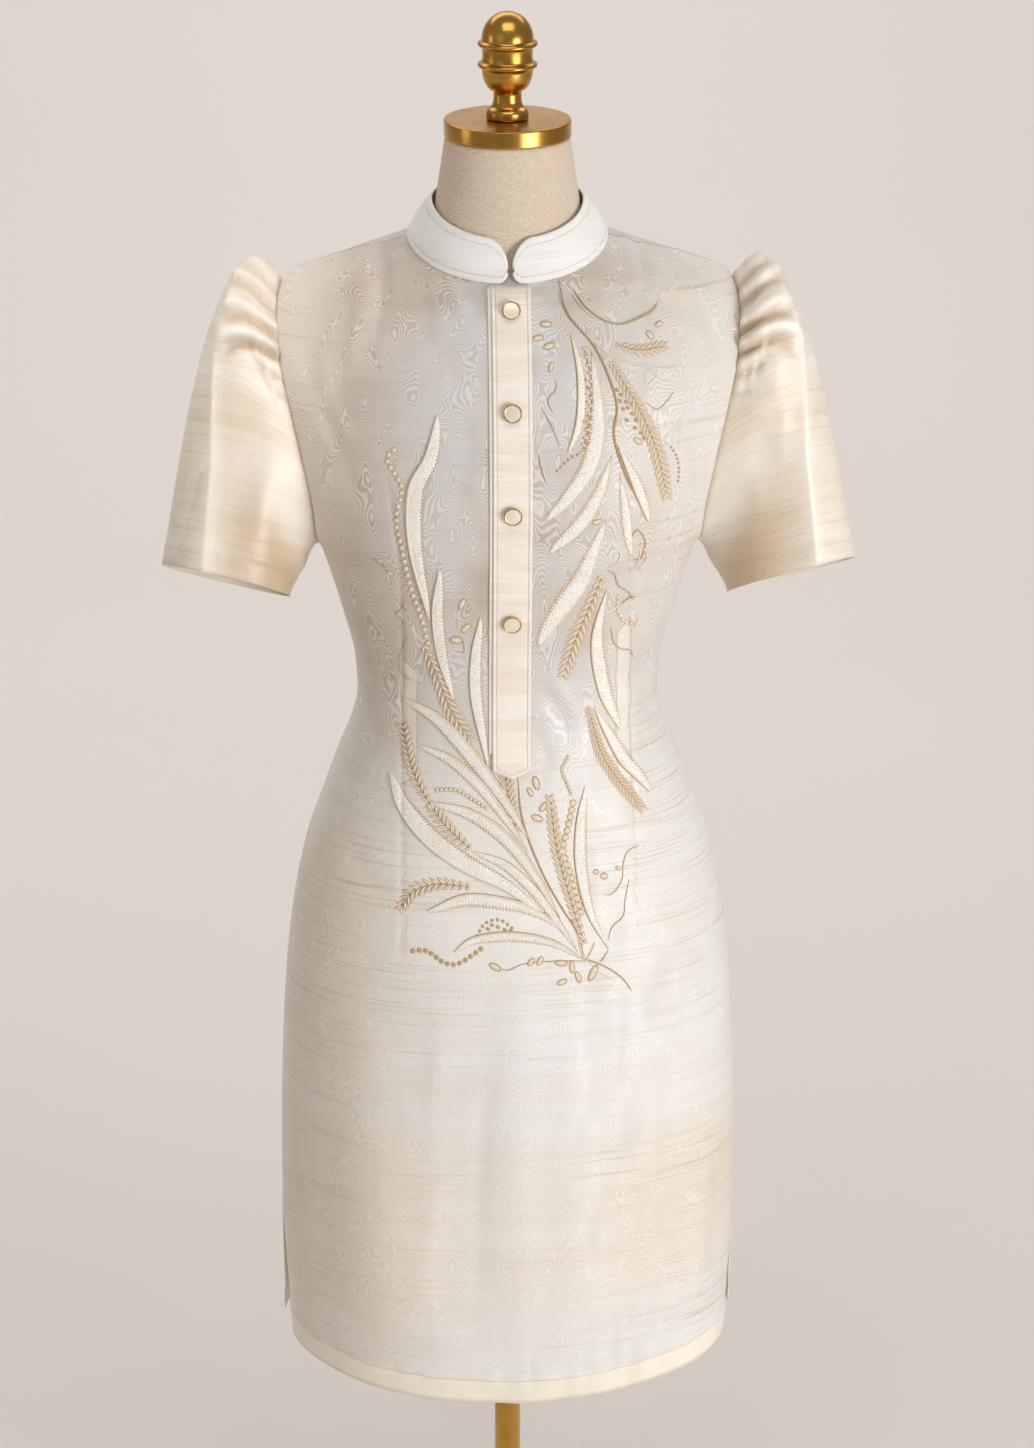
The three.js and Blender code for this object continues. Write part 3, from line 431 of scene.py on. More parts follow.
def silk_group():
    """Slub and moire of crisp woven silk. Slubs are noise drawn out along the weft and sorted into thin lines that
    lie in bands; the moire is the sine of a slow noise, drawn out along the warp, times many turns, so that its
    lines run like the contours of a hill."""
    group, (place, pitch, length, turns), out = new_group(
        "silk threads", {"Vector": None, "Slub Pitch": 560.0, "Slub Length": 8.0, "Moire Turns": 80.0},
        ("Slub", "Streak", "Moire", "Thread"))
    x, y, z = place.split()
    drawn = Wire(put(group, "CombineXYZ", [(0, x * length), (1, y * length), (2, z * pitch)]).outputs[0])
    band = place.stretched((3, 3, 22)).noise().between(0.36, 0.62, 0.25, 1.0)
    hill = place.stretched((24, 24, 11)).noise(1.0, 1.5, 0.4)
    shake = place.stretched((75, 75, 60)).noise(1.0, 1.0)
    lines = ((hill * turns + shake * 1.3) * (2 * math.pi)).math("SINE")
    feed(out["Slub"], drawn.noise(1.0, 2.0, 0.6).between(0.55, 0.68) * band)
    feed(out["Streak"], drawn.stretched((0.5, 0.5, 0.11)).noise(1.0, 3.0, 0.55).between(0.36, 0.68))
    feed(out["Moire"], lines.between(-0.6, 0.9))
    feed(out["Thread"], place.stretched((260, 260, 1900)).noise(1.0, 1.0))
    return group


def weave_group():
    """A plain weave: the product of two sine waves across each other, pushed about by a slow noise."""
    group, (place, threads, unevenness), out = new_group(
        "plain weave", {"Vector": None, "Threads": 1400.0, "Unevenness": 0.4}, ("Height", "Fleck"))
    x, y, z = place.split()
    push = place.noise(90.0, 3.0) * (unevenness * 6.0)
    warp = ((x + y) * threads + push).math("SINE")
    weft = (z * threads + push).math("SINE")
    feed(out["Height"], (warp * weft).between(-1.0, 1.0))
    feed(out["Fleck"], place.stretched((300, 300, 700)).noise(1.0, 2.0, 0.7))
    return group


def stitch_group():
    """A row of short stitches: a narrow band at a distance from an edge, broken up along its length."""
    group, (distance, at, along), out = new_group(
        "stitch line", {"Distance": 0.0, "At": 0.005, "Along": 0.0}, ("Mask",))
    dash = (along * 2600.0).math("SINE").between(-0.6, -0.2, 0.3, 1.0)
    feed(out["Mask"], abs(distance - at).between(0.0, 0.0008, 1.0, 0.0) * dash)
    return group


SILK = silk_group()
WEAVE = weave_group()
STITCH = stitch_group()


def new_material(name, **base):
    """A material, its tree and the inputs of its Principled shader. Constants go on the shader's own sockets."""
    material = bpy.data.materials.new(name)
    material.use_nodes = True
    tree = material.node_tree
    tree.nodes.clear()
    body = put(tree, "BsdfPrincipled", [(key.replace("_", " "), value) for key, value in base.items()])
    put(tree, "OutputMaterial", [(0, Wire(body.outputs[0]))])
    return material, tree, body.inputs


def object_place(tree):
    """A place in the piece's own metres."""
    return Wire(put(tree, "TexCoord").outputs["Object"])


def cloth_place(tree, name="marks"):
    """A piece's place on the flat cloth, or its marks."""
    return Wire(put(tree, "UVMap", uv_map=name).outputs[0])


def bump(body, height, distance, strength=1.0):
    """Leans the surface as a height would, of so many metres at most."""
    feed(body["Normal"], height.through("Bump", [("Distance", distance), ("Strength", strength)], first="Height"))


def jusi_material():
    """The sheer cloth of the sheath over its ivory lining, with an opaque turned-up hem, the doubled strips of cloth
    beside the waist darts, and the darts' seams. Its colour also holds painted sheen down the middle and a warmer
    painted shade on the left of the picture."""
    material, tree, body = new_material("jusi over ivory lining", Roughness=0.4, Sheen_Weight=0.25,
                                        Sheen_Roughness=0.4, Specular_IOR_Level=0.5)
    place = object_place(tree)
    silk = place.fed_to(SILK)
    x, _, z = place.split()
    from_hem, from_dart, _ = cloth_place(tree).split()
    cloud = place.stretched((1, 1, 0.7)).noise(6.0, 3.0)
    middle = abs(x).between(0.03, 0.13, 1.0, 0.0)
    # Painted shade: warmer and darker towards the left of the picture. A band round the skirt and clouds of a warmer
    # tone are added to it.
    painted_left_shade = x.between(-0.17, 0.02, 0.55, 0.0)
    warm_band = abs(z - 0.5).between(0.03, 0.12, 0.75, 0.0)
    warm_tone_and_left_shade = (painted_left_shade + warm_band).math("ADD", cloud.between(0.42, 0.66, 0.0, 0.4), clamp=True)
    # Painted sheen: whiter clouds down the middle of the sheath, where middle is high.
    ground = layered((236, 234, 232), (warm_tone_and_left_shade, (233, 221, 205)),
                     (middle * cloud.between(0.4, 0.6, 0.2, 0.65), (252, 250, 247)))
    # Above the waist the ground turns darker and browner, most in the middle. Silvery clouds in the middle are partly
    # the sheer's cooler tone and partly painted sheen.
    bodice = z.between(0.84, 1.04) * x.between(0.03, 0.16, 1.0, 0.3) * x.between(-0.17, -0.12, 0.35, 1.0)
    silver_tone_and_sheen = place.stretched((1, 1, 0.6)).noise(13.0, 3.0).between(0.33, 0.62)
    silver_tone_and_sheen = silver_tone_and_sheen * abs(x).between(0.05, 0.14, 1.0, 0.15)
    ground = bodice.tint(ground, layered((187, 169, 150), (silver_tone_and_sheen, (209, 206, 205))))
    lines = silk["Moire"] * (bodice * 0.12 + 0.3)
    sewn = from_hem.fed_to(STITCH, At=0.0218, Along=x)["Mask"]
    feed(body["Base Color"], layered(
        ground,
        (silk["Streak"] * 0.22, (226, 212, 192)),
        (silk["Slub"] * (middle * -0.4 + 0.7), (206, 182, 150)),
        (lines, (255, 254, 253)),
        (from_hem.between(0.0222, 0.0230, 1.0, 0.0) * 0.9, (252, 243, 227)),
        (sewn * 0.7, (190, 164, 128)),
        (from_dart.between(0.0, 0.0012) * 0.55, (250, 242, 226)),
        (abs(from_dart).between(0.0, 0.0012, 1.0, 0.0) * 0.4, (176, 152, 122))))
    feed(body["Roughness"], silk["Moire"].between(0.0, 1.0, 0.46, 0.34))
    bump(body, silk["Slub"] * 0.6 + lines * 0.9 + silk["Thread"] * 0.35, 0.0003)
    return material


def satin_material():
    """Satin of the sleeves; the marks hold painted shade in the troughs of its pleats, on the sleeve's inner side and
    at the armhole seam, and painted highlight on the pleats' ridges and the pressed crease.
    """
    material, tree, body = new_material("ivory satin", Roughness=0.37, Sheen_Weight=0.2, Sheen_Roughness=0.35,
                                        Specular_IOR_Level=0.65)
    around, along, _ = cloth_place(tree, "cloth").split()
    trough, ridge, _ = cloth_place(tree).split()
    place = Wire(put(tree, "CombineXYZ", [(0, around), (2, along)]).outputs[0])
    silk = place.fed_to(SILK, Slub_Pitch=620.0, Slub_Length=9.0, Moire_Turns=34.0)
    patch = place.noise(14.0, 1.0).between(0.5, 0.62, 0.0, 0.35)
    feed(body["Base Color"], layered(
        (243, 236, 227),
        (place.noise(9.0, 3.0).between(0.4, 0.65), (235, 224, 206)),
        (silk["Streak"] * 0.55, (224, 207, 180)),
        (silk["Slub"] * 0.5, (203, 180, 148)),
        (silk["Moire"] * patch, (250, 246, 238)),
        # Painted shade in the troughs and on the inner side, and painted highlight on the ridges and the crease, from
        # the marks
        (trough * 0.8, (194, 164, 124)),
        (ridge * 0.8, (255, 252, 244))))
    bump(body, silk["Slub"] * 0.7 + silk["Thread"] * 0.35, 0.0003)
    return material


def band_material(name, base, line, edge, slub_share, stitch_at):
    """Plain cloth of the collar and the placket, with weft lines, a row of stitches and a rolled edge."""
    material, tree, body = new_material(name, Roughness=0.75, Sheen_Weight=0.2, Sheen_Roughness=0.5)
    place = object_place(tree)
    from_edge, along, _ = cloth_place(tree).split()
    silk = place.fed_to(SILK, Slub_Pitch=620.0, Slub_Length=16.0)
    weave = place.fed_to(WEAVE, Threads=3200.0)
    sewn = from_edge.fed_to(STITCH, At=stitch_at, Along=along)["Mask"]
    feed(body["Base Color"], layered(
        base, (silk["Streak"] * slub_share, line), (silk["Slub"] * slub_share, line),
        (from_edge.between(0.0009, 0.0015, 0.8, 0.0), edge), (sewn * 0.45, (178, 160, 136))))
    bump(body, silk["Slub"] * 0.7 + weave["Height"] * 0.5 - sewn, 0.00025)
    return material


def linen_material():
    """The form's cover: a coarse, uneven plain weave."""
    material, tree, body = new_material("linen cover", Roughness=0.92, Sheen_Weight=0.15)
    weave = object_place(tree).fed_to(WEAVE, Threads=2400.0, Unevenness=0.8)
    feed(body["Base Color"], layered(
        (224, 203, 180), (weave["Fleck"].between(0.3, 0.75), (240, 225, 207)),
        (weave["Height"] * 0.25, (190, 168, 144))))
    bump(body, weave["Height"] + weave["Fleck"], 0.0004, 0.8)
    return material


def brass_material():
    """Polished brass, cloudy in colour and gloss, with fine marks of the lathe."""
    material, tree, body = new_material("polished brass", Metallic=1.0, Roughness=0.2)
    place = object_place(tree)
    cloud = place.noise(30.0, 4.0)
    turned = place.stretched((30, 30, 2500)).noise()
    feed(body["Base Color"], layered((206, 160, 82), (cloud.between(0.35, 0.7), (184, 136, 62))))
    feed(body["Roughness"], cloud.between(0.3, 0.8, 0.16, 0.3) + turned * 0.06)
    bump(body, turned, 0.00004)
    return material


def button_face_material():
    """The pale, softly clouded face of a button."""
    material, tree, body = new_material("champagne button face", Metallic=0.35, Roughness=0.35)
    cloud = object_place(tree).noise(160.0, 3.0)
    feed(body["Base Color"], layered((253, 245, 228), (cloud, (247, 235, 208))))
    bump(body, cloud, 0.0001)
    return material


def thread_material(name, light, dark, knots=False):
    """Silk thread: fine stripes across the stitch, or for a field of seed stitches, rows of short knots."""
    material, tree, body = new_material(name, Roughness=0.45, Sheen_Weight=0.3, Sheen_Roughness=0.3)
    cloth = cloth_place(tree, "cloth")
    if knots:
        along, across, _ = cloth.split()
        row = across * (2 * math.pi / 0.0023)
        stitch = (along * (2 * math.pi / 0.0028) + row * 0.5).math("SINE")
        sewn = (row.math("SINE") * stitch).between(-0.3, 0.5)
        rough = cloth.stretched((1, 1, 1), (0, 0, 0.7)).stretched((1150, 260, 1)).noise(1.0, 2.0, 0.6)
        grain = rough.between(0.36, 0.62) * 0.5 + sewn * 0.5
    else:
        slanted = cloth.stretched((1000, 500, 1), (0, 0, 0.6))
        grain = slanted.through("TexWave", [("Scale", 0.42), ("Distortion", 1.5)], "Fac")
    low, high = (0.1, 0.5) if knots else (0.2, 0.7)
    shade = grain * 0.7 + object_place(tree).noise(60.0) * 0.3
    feed(body["Base Color"], layered(dark, (shade.between(low, high), light)))
    bump(body, grain, 0.0002)
    return material


JUSI = jusi_material()
SATIN = satin_material()
COLLAR_CLOTH = band_material("collar cloth", (252, 252, 251), (236, 232, 224), (252, 251, 248), 0.35, 0.0055)
PLACKET_CLOTH = band_material("placket cloth", (255, 249, 240), (240, 220, 196), (252, 248, 240), 0.5, 0.0032)
LINEN = linen_material()
BRASS = brass_material()
BUTTON_FACE = button_face_material()
FIELD_THREAD = thread_material("cream seed stitches", (255, 254, 250), (222, 198, 162), knots=True)
CREAM_THREAD = thread_material("cream silk thread", (255, 249, 236), (240, 222, 192))
GOLD_THREAD = thread_material("tan gold silk thread", (222, 190, 142), (186, 147, 97))


# Relief of the cloth

def crease(x, z, line):
    """A soft trough or ridge on a line given as x and z of both ends, width, height and bend: a bell across the
    line, faded at both ends."""
    x0, z0, x1, z1, width, height, bow = line
    length = math.hypot(x1 - x0, z1 - z0)
    along = ((x - x0) * (x1 - x0) + (z - z0) * (z1 - z0)) / length ** 2
    off = ((x - x0) * (z1 - z0) - (z - z0) * (x1 - x0)) / length - bow * 4 * along * (1 - along)
    fade = smooth(along, 0, 0.3) * (1 - smooth(along, 0.7, 1))
    return height * fade * np.exp(-(off / width) ** 2)


# x and z of both ends, width, height, bend
FRONT_CREASES = [
    (-58, 760, -78, 368, 13, 1.5, 0), (4, 830, 14, 362, 20, 2.2, 4), (58, 800, 84, 368, 15, -1.5, -3),
    (118, 640, 124, 372, 12, 1.6, 2), (-24, 700, -34, 366, 9, -1.0, 0),
    (-112, 1340, -152, 1283, 9, 2.4, 3), (-152, 1292, -146, 1236, 8, 1.8, 2),
    (-160, 1322, -168, 1250, 10, -1.4, 0),
    (-116, 1362, -150, 1250, 12, 3.0, -14), (-102, 1356, -130, 1262, 9, -2.2, -10), (-90, 1352, -98, 1308, 6, 1.2, 0),
    (-52, 1336, -22, 1288, 6, 1.4, 3), (-44, 1338, -10, 1296, 5, -1.2, 3), (-70, 1340, -64, 1290, 7, -1.2, 2),
    (92, 1362, 100, 1312, 5, 1.5, -4), (100, 1356, 110, 1312, 5, -1.4, -4), (118, 1348, 168, 1290, 6, 1.6, -8),
    (60, 1338, 74, 1290, 7, -1.0, -3), (-156, 1245, -118, 1150, 9, -1.8, 6), (-164, 1225, -130, 1170, 6, 1.4, 0),
    (158, 1250, 120, 1160, 9, -1.6, -6), (164, 1228, 132, 1180, 6, 1.2, 0), (-150, 1110, -118, 1060, 7, 1.3, 4),
    (-128, 985, -60, 1010, 8, -1.7, 5), (-130, 945, -70, 950, 7, -1.4, -4), (-126, 965, -84, 975, 5, 1.2, 0),
    (126, 990, 62, 1004, 8, -1.5, -5), (130, 948, 76, 944, 7, -1.5, 4), (124, 968, 88, 972, 5, 1.1, 0),
    (17, 1000, 52, 936, 6, -1.6, -4), (28, 1004, 60, 950, 5, 1.2, -4), (20, 960, 36, 920, 5, -1.0, 2),
    (-150, 860, -90, 800, 12, -1.3, 8), (150, 864, 96, 806, 12, -1.2, -8),
    (-120, 760, -105, 380, 26, 2.2, 8), (-55, 700, -62, 370, 30, -1.8, -6), (60, 720, 66, 360, 30, 1.9, 6),
    (125, 740, 118, 380, 24, -2.0, -8), (5, 640, 0, 350, 26, 1.4, 4), (-165, 620, -160, 390, 18, -1.8, 4),
    (168, 600, 150, 380, 14, 2.4, -8), (182, 560, 176, 390, 10, -2.0, -4),
]
BACK_CREASES = [
    (-140, 1240, -80, 1160, 10, -1.6, 6), (142, 1236, 84, 1150, 10, -1.5, -6),
    (-126, 985, -50, 1000, 10, -1.8, 6), (126, 980, 46, 1006, 9, -1.6, -6), (-120, 940, -40, 935, 9, -1.6, -4),
    (122, 946, 50, 932, 9, -1.7, 4), (-90, 965, 80, 972, 8, 1.2, 5),
    (-110, 780, -100, 380, 28, 2.0, 8), (112, 760, 106, 380, 26, -2.1, -8), (-40, 720, -48, 370, 30, -1.6, -5),
    (46, 700, 52, 360, 28, 1.9, 6), (0, 620, 4, 350, 22, 1.2, 3),
]
# heights of a waist dart's seam and its x at each, for the left and right of the picture, and how far the doubled
# cloth beside it reaches up and down
DARTS = (
    ((745, 806, 922, 1060, 1108, 1185), (-94, -93, -91, -90, -92, -101), (905, 1010)),
    ((775, 834, 917, 1016, 1066, 1120), (107, 106, 102, 101, 98, 95), (900, 1045)),
)


def dart_distance(x, z, line):
    """How far inwards of a dart's seam a place is."""
    heights, across, _ = line
    sign = 1 if across[0] > 0 else -1
    return (np.interp(z, heights, across) - x) * sign


def panel_relief(facing, x, z):
    """How far a panel's cloth stands proud: creases and the darts' seams."""
    out = sum(crease(x, z, line) for line in (FRONT_CREASES if facing < 0 else BACK_CREASES))
    for line in DARTS:
        heights = line[0]
        fade = smooth(z, heights[0] - 4, heights[0] + 25) * (1 - smooth(z, heights[-1] - 35, heights[-1]))
        out = out - 1.2 * fade * np.exp(-(dart_distance(x, z, line) / 1.7) ** 2)
    return out


def hem_height(facing, share):
    """The height of the hem's edge at a share of the way round."""
    return panel_point(facing, np.zeros_like(share), share)[..., 2]


HEM_BAND = 23          # height of the turned-up hem
STRIP_WIDTH = 12.5     # width of the doubled cloth beside a dart's seam


def make_panel(name, facing):
    """A whole panel: rows of the table from the hem to the shoulder seam, both halves in one grid."""
    rows = row_numbers(4.5)
    half = 86
    column = np.arange(-half, half + 1)
    share = (np.abs(column) / half)[None, :]
    side = np.where(column < 0, -1.0, 1.0)[None, :]
    grid = panel_point(facing, rows[:, None], share, side)
    eased = grid.copy()
    for _ in range(12):
        eased[1:-1] = (eased[:-2] + 2 * eased[1:-1] + eased[2:]) / 4
    near = np.exp(-((rows - NECK_ROW) / 0.9) ** 2)[:, None] * smooth(share, 0.02, 0.14) * (1 - smooth(share, 0.9, 1))
    grid = grid + near[..., None] * (eased - grid)
    x, z = grid[..., 0].copy(), grid[..., 2].copy()
    above = z - hem_height(facing, np.broadcast_to(share, z.shape))
    relief = panel_relief(facing, x, z)
    phase = x / 5.5
    pucker = 0.75 * np.sin(phase + 1.7 * np.sin(phase * 0.37)) * np.exp(-((above - HEM_BAND) / 5) ** 2)
    wave = 1.0 * np.sin(x / 17 + 2 * np.sin(x / 41)) * np.exp(-(above / 14) ** 2)
    turned_up = 0.8 * (1 - smooth(above, HEM_BAND - 1.2, HEM_BAND + 0.6)) * smooth(-rows, -12, 0)[:, None]
    edge_x = panel_point(facing, rows, np.ones_like(rows))[:, 0][:, None]
    from_edge = np.abs(np.abs(x) - edge_x)
    seam = -0.25 * np.exp(-(from_edge / 1.2) ** 2) * (z > SLIT_TOP)
    normal = normals_of(grid) * (1 if facing < 0 else -1)
    grid = grid + normal * (relief + pucker + wave + turned_up + seam)[..., None]
    strip = np.full(x.shape, -9.0)
    for line in DARTS:
        inward = dart_distance(x, z, line)
        low, high = line[2]
        wide = STRIP_WIDTH * smooth(z, low - 6, low + 12) * (1 - smooth(z, high - 12, high + 6))
        inside = np.minimum(inward, np.maximum(wide - inward, -9))
        heights = line[0]
        seamed = (z > heights[0]) & (z < heights[-1])
        strip = np.where(seamed & (np.abs(inward) < 20), np.where(wide > 1, inside, -np.abs(inward)), strip)
    if facing > 0:
        above = np.minimum(above, np.where(z < SLIT_TOP, from_edge + HEM_BAND - 3, 99))
    uv = np.stack([x, z], -1) * MM
    marks = np.stack([above, strip], -1) * MM
    return cloth_wall(name, grid, 0.9, JUSI, turned=facing > 0, uv=uv, marks=marks)


# The front's depth as a map over x and z, which carries the placket, the buttons and the embroidery

MAP_STEP = 2.0
MAP_X = np.arange(-196, 197, MAP_STEP)
MAP_Z = np.arange(340, 1331, MAP_STEP)


def front_map():
    """Depth of the front at each x and z: each row is read at the map's x, then each column at its z."""
    rows = row_numbers(6.0)
    share = np.linspace(0, 1, 120)
    depth = np.zeros((2, len(MAP_Z), (len(MAP_X) + 1) // 2))
    for number, side in enumerate((-1.0, 1.0)):
        grid = panel_point(-1, rows[:, None], share[None, :], side)
        xs = MAP_X[MAP_X >= 0]
        y = np.array([np.interp(xs, line[:, 0] * side, line[:, 1]) for line in grid])
        z = np.array([np.interp(xs, line[:, 0] * side, line[:, 2]) for line in grid])
        for k in range(len(xs)):
            depth[number, :, k] = np.interp(MAP_Z, z[:, k], y[:, k])
    return np.concatenate([depth[0, :, :0:-1], depth[1]], 1)


FRONT_DEPTH = front_map() - panel_relief(-1, MAP_X[None, :], MAP_Z[:, None])


def depth_at(x, z):
    """Depth of the front's outer face, by straight steps between the four nearest places of the map."""
    u = np.clip((x - MAP_X[0]) / MAP_STEP, 0, len(MAP_X) - 1.001)
    v = np.clip((z - MAP_Z[0]) / MAP_STEP, 0, len(MAP_Z) - 1.001)
    i, j = np.floor(u).astype(int), np.floor(v).astype(int)
    s, t = u - i, v - j
    return ((1 - s) * (1 - t) * FRONT_DEPTH[j, i] + s * (1 - t) * FRONT_DEPTH[j, i + 1]
            + (1 - s) * t * FRONT_DEPTH[j + 1, i] + s * t * FRONT_DEPTH[j + 1, i + 1])


def on_front(x, z, lift=0.0):
    """Points on the front at x and z, lifted along its normal."""
    y = depth_at(x, z)
    slope_x = (depth_at(x + 3, z) - depth_at(x - 3, z)) / 6
    slope_z = (depth_at(x, z + 3) - depth_at(x, z - 3)) / 6
    normal = np.stack([slope_x, -np.ones_like(y), slope_z], -1)
    normal /= np.linalg.norm(normal, axis=-1, keepdims=True)
    return np.stack([x, y, z], -1) + normal * np.asarray(lift)[..., None], normal


# Embroidery, laid out in places of the picture, 1034 by 1448, and dropped on the front along the camera's rays

PHOTO = (1034, 1448)
CAMERA_TURN = math.radians(-2)
CAMERA_DIP = math.radians(21.15)
CAMERA_AWAY = 3300
CAMERA_PLACE = np.array([CAMERA_AWAY * math.sin(CAMERA_TURN), -CAMERA_AWAY * math.cos(CAMERA_TURN), 2200])
LENS = 4127.0          # focal length in picture points
AXIS_AT = 507.5        # the picture column of the camera's axis


def picture_place(spots):
    """x and z on the front under places of the picture: the camera's ray is cut at the front's depth, which is
    looked up again until it settles."""
    spots = np.asarray(spots, float)
    sin, cos = math.sin(CAMERA_TURN), math.cos(CAMERA_TURN)
    dip_sin, dip_cos = math.sin(CAMERA_DIP), math.cos(CAMERA_DIP)
    right = np.array([cos, sin, 0])
    ahead = np.array([-sin * dip_cos, cos * dip_cos, -dip_sin])
    up = np.array([-sin * dip_sin, cos * dip_sin, dip_cos])
    ray = (ahead + right * ((spots[..., 0:1] - AXIS_AT) / LENS) - up * ((spots[..., 1:2] - PHOTO[1] / 2) / LENS))
    y = np.full(spots.shape[:-1], -110.0)
    for _ in range(5):
        hit = CAMERA_PLACE + ray * ((y - CAMERA_PLACE[1]) / ray[..., 1])[..., None]
        y = depth_at(hit[..., 0], hit[..., 2])
    return hit[..., 0], hit[..., 2]


def spline(points, count):
    """A smooth line through a few places: Catmull-Rom pieces, read at even lengths, with its unit directions."""
    p = np.asarray(points, float)
    p = np.concatenate([2 * p[:1] - p[1:2], p, 2 * p[-1:] - p[-2:-1]])
    t = np.linspace(0, 1, 24, endpoint=False)[None, :, None]
    a, b, c, d = (p[k:len(p) - 3 + k][:, None] for k in range(4))
    line = 0.5 * (2 * b + (c - a) * t + (2 * a - 5 * b + 4 * c - d) * t ** 2 + (3 * b - a - 3 * c + d) * t ** 3)
    line = np.concatenate([line.reshape(-1, 2), p[-2:-1]])
    length = np.append(0, np.cumsum(np.linalg.norm(np.diff(line, axis=0), axis=1)))
    even = np.linspace(0, length[-1], count)
    line = np.stack([np.interp(even, length, line[:, k]) for k in (0, 1)], -1)
    way = np.gradient(line, axis=0)
    return line, way / np.linalg.norm(way, axis=1, keepdims=True), length[-1]


class Stitches(Patches):
    """Patches of thread."""

    def lay(self, spots, height, uv):
        """Patches of one shape on the front, from places in the picture and heights off the cloth. The first axis
        counts them."""
        number, rows, columns = spots.shape[:3]
        points, _ = on_front(*picture_place(spots), height)
        faces = grid_faces(rows, columns)[None] + (np.arange(number) * rows * columns)[:, None, None]
        self.add(points, faces.reshape(-1, 4), uv)


FIELD, CREAM, GOLD = Stitches(), Stitches(), Stitches()


TOOTH = 3.6          # length of a tooth of a leaf's edge, in picture points


def blade(points, width, side):
    """A leaf of seed stitches on one side of its rib: its width swells and falls from tip to base, its free edge is
    toothed, and it is domed across, with a darker edge under it. points run from tip to base; side is 1 or -1."""
    count = 180
    line, way, length = spline(points, count)
    t = np.linspace(0, 1, count)[:, None]
    u = np.linspace(0, 1, 11)[None, :]
    swell = 0.9 * width * (np.sin(np.pi * t ** 0.8) ** 0.8 * 0.95 + 0.05 * (1 - t))
    tooth = 1 + 0.28 * (np.abs((t * length / TOOTH) % 1 - 0.5) * 2 - 0.6) * u ** 3
    off = np.stack([way[:, 1], -way[:, 0]], -1)[:, None] * side
    end = np.clip(np.minimum(t, 1 - t) / 0.02, 0, 1)
    for thread, wider, top in ((GOLD, 1.0, 0.4), (FIELD, 0.92, 1.4)):
        spots = line[:, None] + off * (swell * wider * u * tooth)[..., None]
        dome = top * np.clip(1 - u ** 2.6, 0, 1) ** 0.5 * np.minimum(1, swell / 5)
        stitch = 0.22 * np.sin(t * length * 1.9 + u * 6) * smooth(u, 0.1, 0.4) * (thread is FIELD)
        height = (dome + stitch * (u < 0.98)) * end + 0.04
        uv = np.stack(np.broadcast_arrays(t * length, u * swell), -1)
        flip = slice(None, None, side)
        thread.lay(spots[None, :, flip], height[None, :, flip], uv[None, :, flip])


def cord(points, radius, thread=GOLD, sunk=0.45):
    """A couched cord: a round tube half sunk in the cloth that thins towards both ends."""
    count, sides = 9 * len(points), 8
    line, _, length = spline(points, count)
    x, z = picture_place(line)
    centre, normal = on_front(x, z, np.full(count, radius * sunk))
    along = np.gradient(centre, axis=0)
    along /= np.linalg.norm(along, axis=1, keepdims=True)
    across = np.cross(along, normal)
    t = np.linspace(0, 1, count)
    thin = radius * (1 - 0.75 * np.abs(2 * t - 1) ** 5)
    turn = np.arange(sides) * 2 * np.pi / sides
    ring = np.cos(turn)[None, :, None] * across[:, None] + np.sin(turn)[None, :, None] * normal[:, None]
    uv = np.stack(np.broadcast_arrays((t * length)[:, None], turn[None, :]), -1)
    faces = grid_faces(count, sides, wrap=True, turned=True)
    thread.add(centre[:, None] + ring * thin[:, None, None], faces, uv)


def fern(points, half, pairs, lean):
    """Pairs of narrow stitched leaflets on both sides of a rib, each a domed lozenge with an outline under it.
    points run from tip to base."""
    line, way, length = spline(points, pairs)
    t = np.linspace(0, 1, pairs)[:, None, None]
    size = 1.25 * half * (0.4 + 0.6 * np.sin(np.pi * np.clip(t, 0.02, 0.98) ** 0.75) ** 0.6)
    along = np.linspace(0, 1, 6)[None, :, None]
    across = np.linspace(-1, 1, 5)[None, None, :]
    body = np.sin(np.pi * np.clip(along, 0.04, 0.99) ** 0.75) ** 0.8
    shape = (pairs, along.size, across.size)
    for side in (-1, 1):
        angle = side * math.radians(lean)
        cos, sin = math.cos(angle), math.sin(angle)
        out = -np.stack([way[:, 0] * cos - way[:, 1] * sin, way[:, 0] * sin + way[:, 1] * cos], -1)
        wide = np.stack([-out[:, 1], out[:, 0]], -1)
        for thread, broad, reach, high in ((GOLD, 0.32, 1.08, 0.4), (CREAM, 0.21, 1.0, 1.2)):
            shift = across * body * length / pairs * broad
            spots = (line[:, None, None] + out[:, None, None] * (along * reach * size)[..., None]
                     + wide[:, None, None] * np.broadcast_to(shift, shape)[..., None])
            height = np.broadcast_to(high * body * np.clip(1 - across ** 2, 0, 1) ** 0.5 + 0.04, shape)
            uv = np.stack(np.broadcast_arrays(along * size + 3 * t, shift), -1)
            thread.lay(spots, height, uv)
    cord(points, 0.55)


